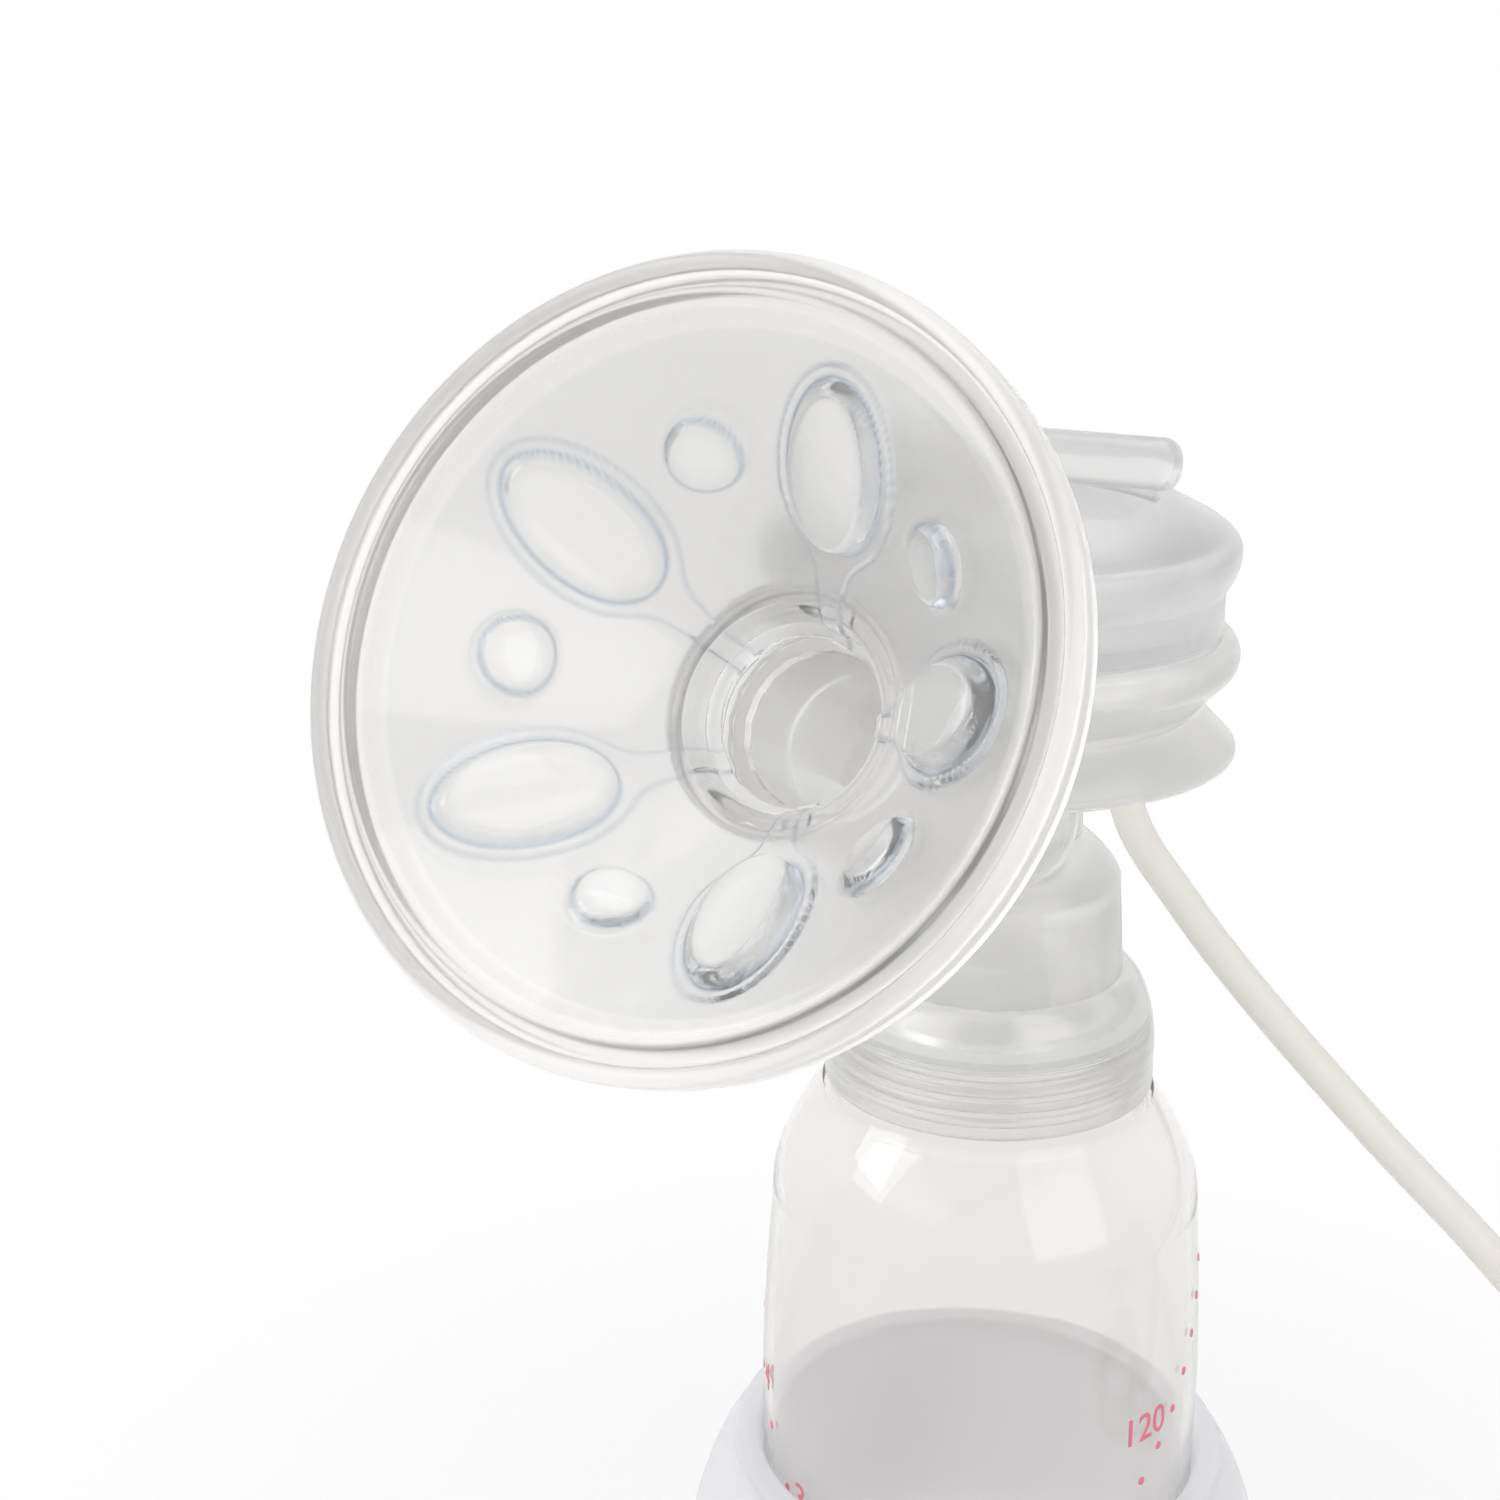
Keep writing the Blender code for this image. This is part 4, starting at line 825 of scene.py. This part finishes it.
padLook = dict(
    radius=39.9 * mm, reach=96.3 * mm, skin=2.0 * mm, rim=1.9 * mm, groove=2.2 * mm, grooveDeep=1.0 * mm,
    skirt=4.8 * mm, skirtEdge=0.4 * mm, bowlDeep=24.6 * mm, bowlEdge=0.6 * mm, hole=12.2 * mm,
    fillet=2.8 * mm, filletGap=0.2 * mm, bore=10.2 * mm, endBore=9.2 * mm, endOut=0.1 * mm, endUp=0.8 * mm,
    sleeve=7.6 * mm, sleeveEdge=0.5 * mm, turns=400, rows=100,
    petals=5, centre=24 * mm, halfLong=10.2 * mm, halfWide=5.8 * mm, domeHigh=1.6 * mm, crown=1.0 * mm,
    edge=1.5 * mm, outline=1.25 * mm, step=0.32 * mm, stepWide=0.3 * mm,
    tailWide=2.3 * mm, tailNarrow=1.35 * mm, tailBlend=2.6 * mm, tailStart=1 * mm, tailPast=3 * mm,
    tailInto=0.5,
    dot=4.0 * mm, dotHigh=1.5 * mm, dotOutline=0.9 * mm, dotPower=0.8,
    # widths and strengths of the painted shade lines, the painted shade inside the petal edges and the
    # painted light (glow) in the domes
    line=0.45 * mm, ridgeLine=0.55, shade=0.2, shadeWide=2.4 * mm, glow=0.2, rimFade=1.5 * mm,
    faceNear=0.15 * mm, faceBelowTop=0.5 * mm, sleeveIn=0.5 * mm, sleeveUp=0.3 * mm)
bowlRim = padLook["radius"] - padLook["rim"] - padLook["groove"]
bowlTop = padLook["reach"] - padLook["grooveDeep"] / 2
holeAt = bowlTop - padLook["bowlDeep"]
slope = math.atan2(padLook["bowlDeep"], bowlRim - padLook["hole"])
steep = math.tan(slope)

shieldLook = dict(wall=1.6 * mm, seal=1.6 * mm, sleeve=13 * mm, mouth=1 * mm, root=2 * mm, rootIn=1.2 * mm,
                  rootDown=1.6 * mm)


def makeShield():
    look, wall = padLook, shieldLook["wall"]
    sleeveBore = tunnel["radius"] + gap
    sleeveOut = sleeveBore + wall
    sleeveEnd = tunnel["length"] - shieldLook["sleeve"]
    throatStart = tunnel["length"] + shieldLook["seal"] + 2 * gap
    throatBore = look["hole"] + gap
    throatOut = throatBore + wall
    behind = (look["skin"] + gap) / math.cos(slope)
    drop = wall / math.cos(slope)
    throatTop = holeAt - behind - drop + wall * steep
    rimRadius = look["radius"] - look["rim"] - gap
    rimAt = look["reach"] - look["grooveDeep"] - look["skin"] - gap
    mouth, root, rootIn = shieldLook["mouth"], shieldLook["root"], shieldLook["rootIn"]
    outline = [(throatBore, holeAt - behind)]
    outline += linePoints((throatBore + mouth, holeAt - behind + mouth * steep),
                          (bowlRim, bowlTop - behind), 8)
    outline += [(rimRadius, rimAt), (rimRadius, rimAt - wall)]
    outline += linePoints((bowlRim, bowlTop - behind - drop), (throatOut + root, throatTop + root * steep), 8)
    outline += bendPoints((throatOut + rootIn, throatTop + rootIn * steep), (throatOut, throatTop),
                          (throatOut, throatTop - shieldLook["rootDown"]), 5)
    outline += [(throatOut, throatStart), (sleeveOut, throatStart - wall), (sleeveOut, sleeveEnd)]
    outline += [(sleeveBore, sleeveEnd), (sleeveBore, throatStart), (throatBore, throatStart)]
    shield = turnProfile("shieldCone", outline, 160, closed=True)
    layAlongTunnel(shield)
    wear(shield, shieldPlastic)
    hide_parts("shield_funnel")
    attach(shield, "pump_body")


def padFront():   # from the sleeve's end up the bowl to its edge
    look = padLook
    bore, endBore, fillet, edge = look["bore"], look["endBore"], look["fillet"], look["sleeveEdge"]
    corner = holeAt - (look["hole"] - bore) * steep
    sleeveEnd = holeAt - look["sleeve"]
    low = (bore, corner - fillet)
    high = (bore + fillet * math.cos(slope), corner + fillet * math.sin(slope))
    front = arcPoints((endBore + edge, sleeveEnd + edge), edge, edge, -90, -180, 4)
    front += linePoints((endBore + look["endOut"], sleeveEnd + look["endUp"]),
                        (bore, corner - fillet - look["filletGap"]), 8)
    front += bendPoints(low, (bore, corner), high, 12)
    rimPoint = (bowlRim - look["bowlEdge"], bowlTop - look["bowlEdge"] * steep)
    front += linePoints(high, rimPoint, look["rows"])[1:]
    return front


def padOutline():
    look = padLook
    rimIn, rimRound, edge = look["radius"] - look["rim"], look["rim"] / 2, look["skirtEdge"]
    grooveAt = look["reach"] - look["grooveDeep"]
    skirtEnd = look["reach"] - look["skirt"]
    behind = look["skin"] / math.cos(slope)
    bowlLip = [(bowlRim - 0.3 * mm, bowlTop - 0.2 * mm), (bowlRim, bowlTop + 0.1 * mm),
               (bowlRim + 0.35 * mm, bowlTop - 0.1 * mm)]
    grooveIn = [(bowlRim + 0.5 * mm, grooveAt + 0.2 * mm), (bowlRim + 0.6 * mm, grooveAt),
                (bowlRim + 0.9 * mm, grooveAt)]
    grooveOut = [(rimIn - 0.5 * mm, grooveAt), (rimIn, grooveAt), (rimIn, grooveAt + 0.4 * mm)]
    outline = padFront()
    for bend in (bowlLip, grooveIn, grooveOut):
        outline += bendPoints(*bend, 4)
    outline += arcPoints((look["radius"] - rimRound, look["reach"] - rimRound), rimRound, rimRound,
                         180, 0, 14)
    outline += arcPoints((look["radius"] - edge, skirtEnd + edge), edge, edge, 0, -90, 4)
    outline += [(rimIn, skirtEnd), (rimIn, grooveAt - look["skin"])]
    outline += linePoints((bowlRim, bowlTop - behind), (look["hole"], holeAt - behind), 12)
    outline += [(look["hole"], holeAt - look["sleeve"])]
    return outline


def smallest(a, b, soft):   # union of two distances with a soft corner
    mix = max(soft - abs(a - b), 0) / soft
    return min(a, b) - mix * mix * soft / 4


def petalEdge(across, along):   # distance past the petal's oval, and the share of the way out to it
    wide, long = padLook["halfWide"], padLook["halfLong"]
    share = math.hypot(across / wide, along / long)
    if share < 1e-6:
        return -wide, share
    pull = math.hypot(across / wide ** 2, along / long ** 2) / share
    return (share - 1) / pull, share


def petalRise(radius, angle, height):   # how far the pad's face stands proud, and how strong its painted shading is: painted shade lines at the edges, painted light in the domes
    look = padLook
    part = math.tau / look["petals"]
    across = radius * ((angle + part / 2) % part - part / 2)
    up = (radius - look["centre"]) / math.cos(slope)
    reach = (look["centre"] - look["hole"]) / math.cos(slope)
    along = -reach - (holeAt - height) if radius < look["hole"] else up
    away, out = petalEdge(across, along)
    tailLong = reach - look["halfLong"] + look["tailPast"]
    share = easeStep((-along - look["halfLong"] + look["tailStart"]) / tailLong)
    half = look["tailWide"] + (look["tailNarrow"] - look["tailWide"]) * share
    tail = max(abs(across) - half, along + look["halfLong"] * look["tailInto"])
    ridge = smallest(away - look["outline"], tail, look["tailBlend"])
    rise = look["step"] * easeStep(-ridge / look["stepWide"])
    # painted shade lines along the petal's edge and along its outline ridge and tail
    line = max(1 - abs(away) / look["line"], 0) + look["ridgeLine"] * max(1 - abs(ridge) / look["line"], 0)
    if away < 0:
        # inside the petal: a band of painted shade along its edge, then painted light towards the dome's
        # middle
        line += look["shade"] * max(1 + away / look["shadeWide"], 0)
        line -= look["glow"] * easeStep(-away / look["shadeWide"])
        rise += look["domeHigh"] * math.sin(easeStep(-away / look["edge"]) * math.pi / 2)
        rise += look["crown"] * (1 - out * out)
    spot = math.hypot(radius * ((angle + part) % part - part / 2), up)   # the dots lie between the petals
    rise += look["step"] * easeStep((look["dot"] + look["dotOutline"] - spot) / look["stepWide"] / 2)
    # a painted shade line round each dot and painted light inside it
    line += max(1 - abs(spot - look["dot"]) / look["line"], 0)
    if spot < look["dot"]:
        line -= look["glow"] * easeStep((look["dot"] - spot) / look["shadeWide"])
        rise += look["dotHigh"] * math.sqrt(max(1 - (spot / look["dot"]) ** 2, 0)) ** look["dotPower"]
    return rise, min(line, 1)


def onFace(place, radius):   # the bowl's front or the sleeve's bore, where petals and tails lie
    look = padLook
    aboveFace = place.z - (holeAt + (radius - look["hole"]) * steep)
    if aboveFace > -look["faceNear"] and place.z < bowlTop - look["faceBelowTop"] and radius < bowlRim:
        return True
    return radius < look["hole"] - look["sleeveIn"] and place.z > holeAt - look["sleeve"] + look["sleeveUp"]


def makePad():
    look = padLook
    pad = turnProfile("padShell", padOutline(), look["turns"], closed=True, smoothAngle=50)
    mesh = pad.data
    places = [v.co.copy() for v in mesh.vertices]
    facing = [v.normal.copy() for v in mesh.vertices]
    face = paintedShadingMarks["face"]
    lines = [face] * len(places)
    for i, place in enumerate(places):
        radius = math.hypot(place.x, place.y)
        if onFace(place, radius):
            rise, line = petalRise(radius, math.atan2(place.y, place.x), place.z)
            places[i] = place + facing[i] * rise
            lines[i] = face + line * (1 - face)
        lines[i] -= face * easeStep((radius - bowlRim) / look["rimFade"] + 1)
    for v, place in zip(mesh.vertices, places):
        v.co = place
    # the painted shade lines and painted dome light are stored on the mesh for the pad's material
    paintedShading = mesh.attributes.new("paintedShading", "FLOAT", "POINT")
    for i, line in enumerate(lines):
        paintedShading.data[i].value = line
    mesh.update()
    layAlongTunnel(pad)
    wear(pad, padSilicone)
    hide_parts("massage_pad")
    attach(pad, "pad")


makeShield()
makePad()
print("shield and pad made")

# floor, lamps and world

studio = dict(
    floor=0.86, floorSize=6, floorAt=-0.2 * mm, floorRough=0.9,
    shadowFrom=0.05, shadowTo=0.17, shadowWhite=0.55,
    ambient=0.6, backdrop=1.0, room=0.5, sweepTop=0.25, ceiling=0.65)
lamps = {
    "windowLamp": dict(place=(-0.55, -0.45, 0.62), aim=(0, -0.03, 0.13), size=(0.38, 0.55), power=1.9),
    "fillLamp": dict(place=(-0.35, -0.75, 0.75), aim=(0, -0.03, 0.13), size=(1.0, 0.8), power=1.4),
    "topLamp": dict(place=(0.1, 0.15, 0.9), aim=(0, 0, 0.12), size=(0.7, 0.7), power=1.8),
    "sideLamp": dict(place=(0.7, -0.3, 0.35), aim=(0, 0, 0.12), size=(0.6, 0.7), power=1.4),
}


def areaLamp(name):
    look = lamps[name]
    data = bpy.data.lights.new(name, "AREA")
    data.shape = "RECTANGLE"
    data.size, data.size_y = look["size"]
    data.energy = look["power"]
    lamp = bpy.data.objects.new(name, data)
    bpy.context.scene.collection.objects.link(lamp)
    lamp.location = look["place"]
    lamp.rotation_euler = (Vector(look["aim"]) - Vector(look["place"])).to_track_quat("-Z", "Y").to_euler()


def seenRay(nodes, links):   # 1 for what the camera sees, straight, in a gloss or through clear walls
    path = nodes.new("ShaderNodeLightPath")
    shiny = mathNode(nodes, links, "MAXIMUM", path.outputs["Is Camera Ray"], path.outputs["Is Glossy Ray"])
    seen = mathNode(nodes, links, "MAXIMUM", shiny, path.outputs["Is Transmission Ray"])
    unscattered = mathNode(nodes, links, "LESS_THAN", path.outputs["Diffuse Depth"], 0.5)
    return mathNode(nodes, links, "MULTIPLY", seen, unscattered)


def makeFloor():   # pale paper with the shadow near the stand, plain white further off
    deselectAll()
    bpy.ops.mesh.primitive_plane_add(size=studio["floorSize"], location=(0, 0, studio["floorAt"]))
    floor = bpy.context.object
    floor.name = "floor"
    paper, nodes, links, shader = newMaterial("floorPaper")
    shader.inputs["Base Color"].default_value = (studio["floor"], studio["floor"], studio["floor"], 1)
    shader.inputs["Roughness"].default_value = studio["floorRough"]
    shader.inputs["Specular IOR Level"].default_value = 0.0
    glow = nodes.new("ShaderNodeEmission")
    mix = nodes.new("ShaderNodeMixShader")
    place = nodes.new("ShaderNodeTexCoord")
    away = nodes.new("ShaderNodeVectorMath")
    away.operation = "LENGTH"
    links.new(place.outputs["Object"], away.inputs[0])
    fade = rangeNode(nodes, links, away.outputs["Value"], (studio["shadowFrom"], studio["shadowTo"]),
                     (studio["shadowWhite"], 1))
    share = mathNode(nodes, links, "MULTIPLY", seenRay(nodes, links), fade.outputs["Result"])
    links.new(share, mix.inputs["Fac"])
    links.new(shader.outputs["BSDF"], mix.inputs[1])
    links.new(glow.outputs["Emission"], mix.inputs[2])
    links.new(mix.outputs["Shader"], nodes["Material Output"].inputs["Surface"])
    wear(floor, paper)


def makeWorld():   # white sweep all round and a darker room overhead; scattered light sees an even grey
    world = bpy.data.worlds.new("studioWorld")
    bpy.context.scene.world = world
    world.use_nodes = True
    nodes, links = world.node_tree.nodes, world.node_tree.links
    sky = nodes["Background"]
    sky.inputs["Color"].default_value = (1, 1, 1, 1)
    place = nodes.new("ShaderNodeTexCoord")
    split = nodes.new("ShaderNodeSeparateXYZ")
    links.new(place.outputs["Generated"], split.inputs["Vector"])
    ceiling = rangeNode(nodes, links, split.outputs["Z"], (studio["sweepTop"], studio["ceiling"]),
                        (studio["backdrop"], studio["room"]))
    ceiling.interpolation_type = "SMOOTHSTEP"
    path = nodes.new("ShaderNodeLightPath")
    bounced = nodes.new("ShaderNodeMix")
    bounced.inputs["A"].default_value = studio["ambient"]
    links.new(seenRay(nodes, links), bounced.inputs["Factor"])
    links.new(ceiling.outputs["Result"], bounced.inputs["B"])
    level = nodes.new("ShaderNodeMix")
    level.inputs["B"].default_value = studio["backdrop"]
    links.new(path.outputs["Is Camera Ray"], level.inputs["Factor"])
    links.new(bounced.outputs["Result"], level.inputs["A"])
    links.new(level.outputs["Result"], sky.inputs["Strength"])


makeFloor()
for lampName in lamps:
    areaLamp(lampName)
makeWorld()
bpy.context.scene.view_settings.view_transform = "Standard"
print("studio lit")
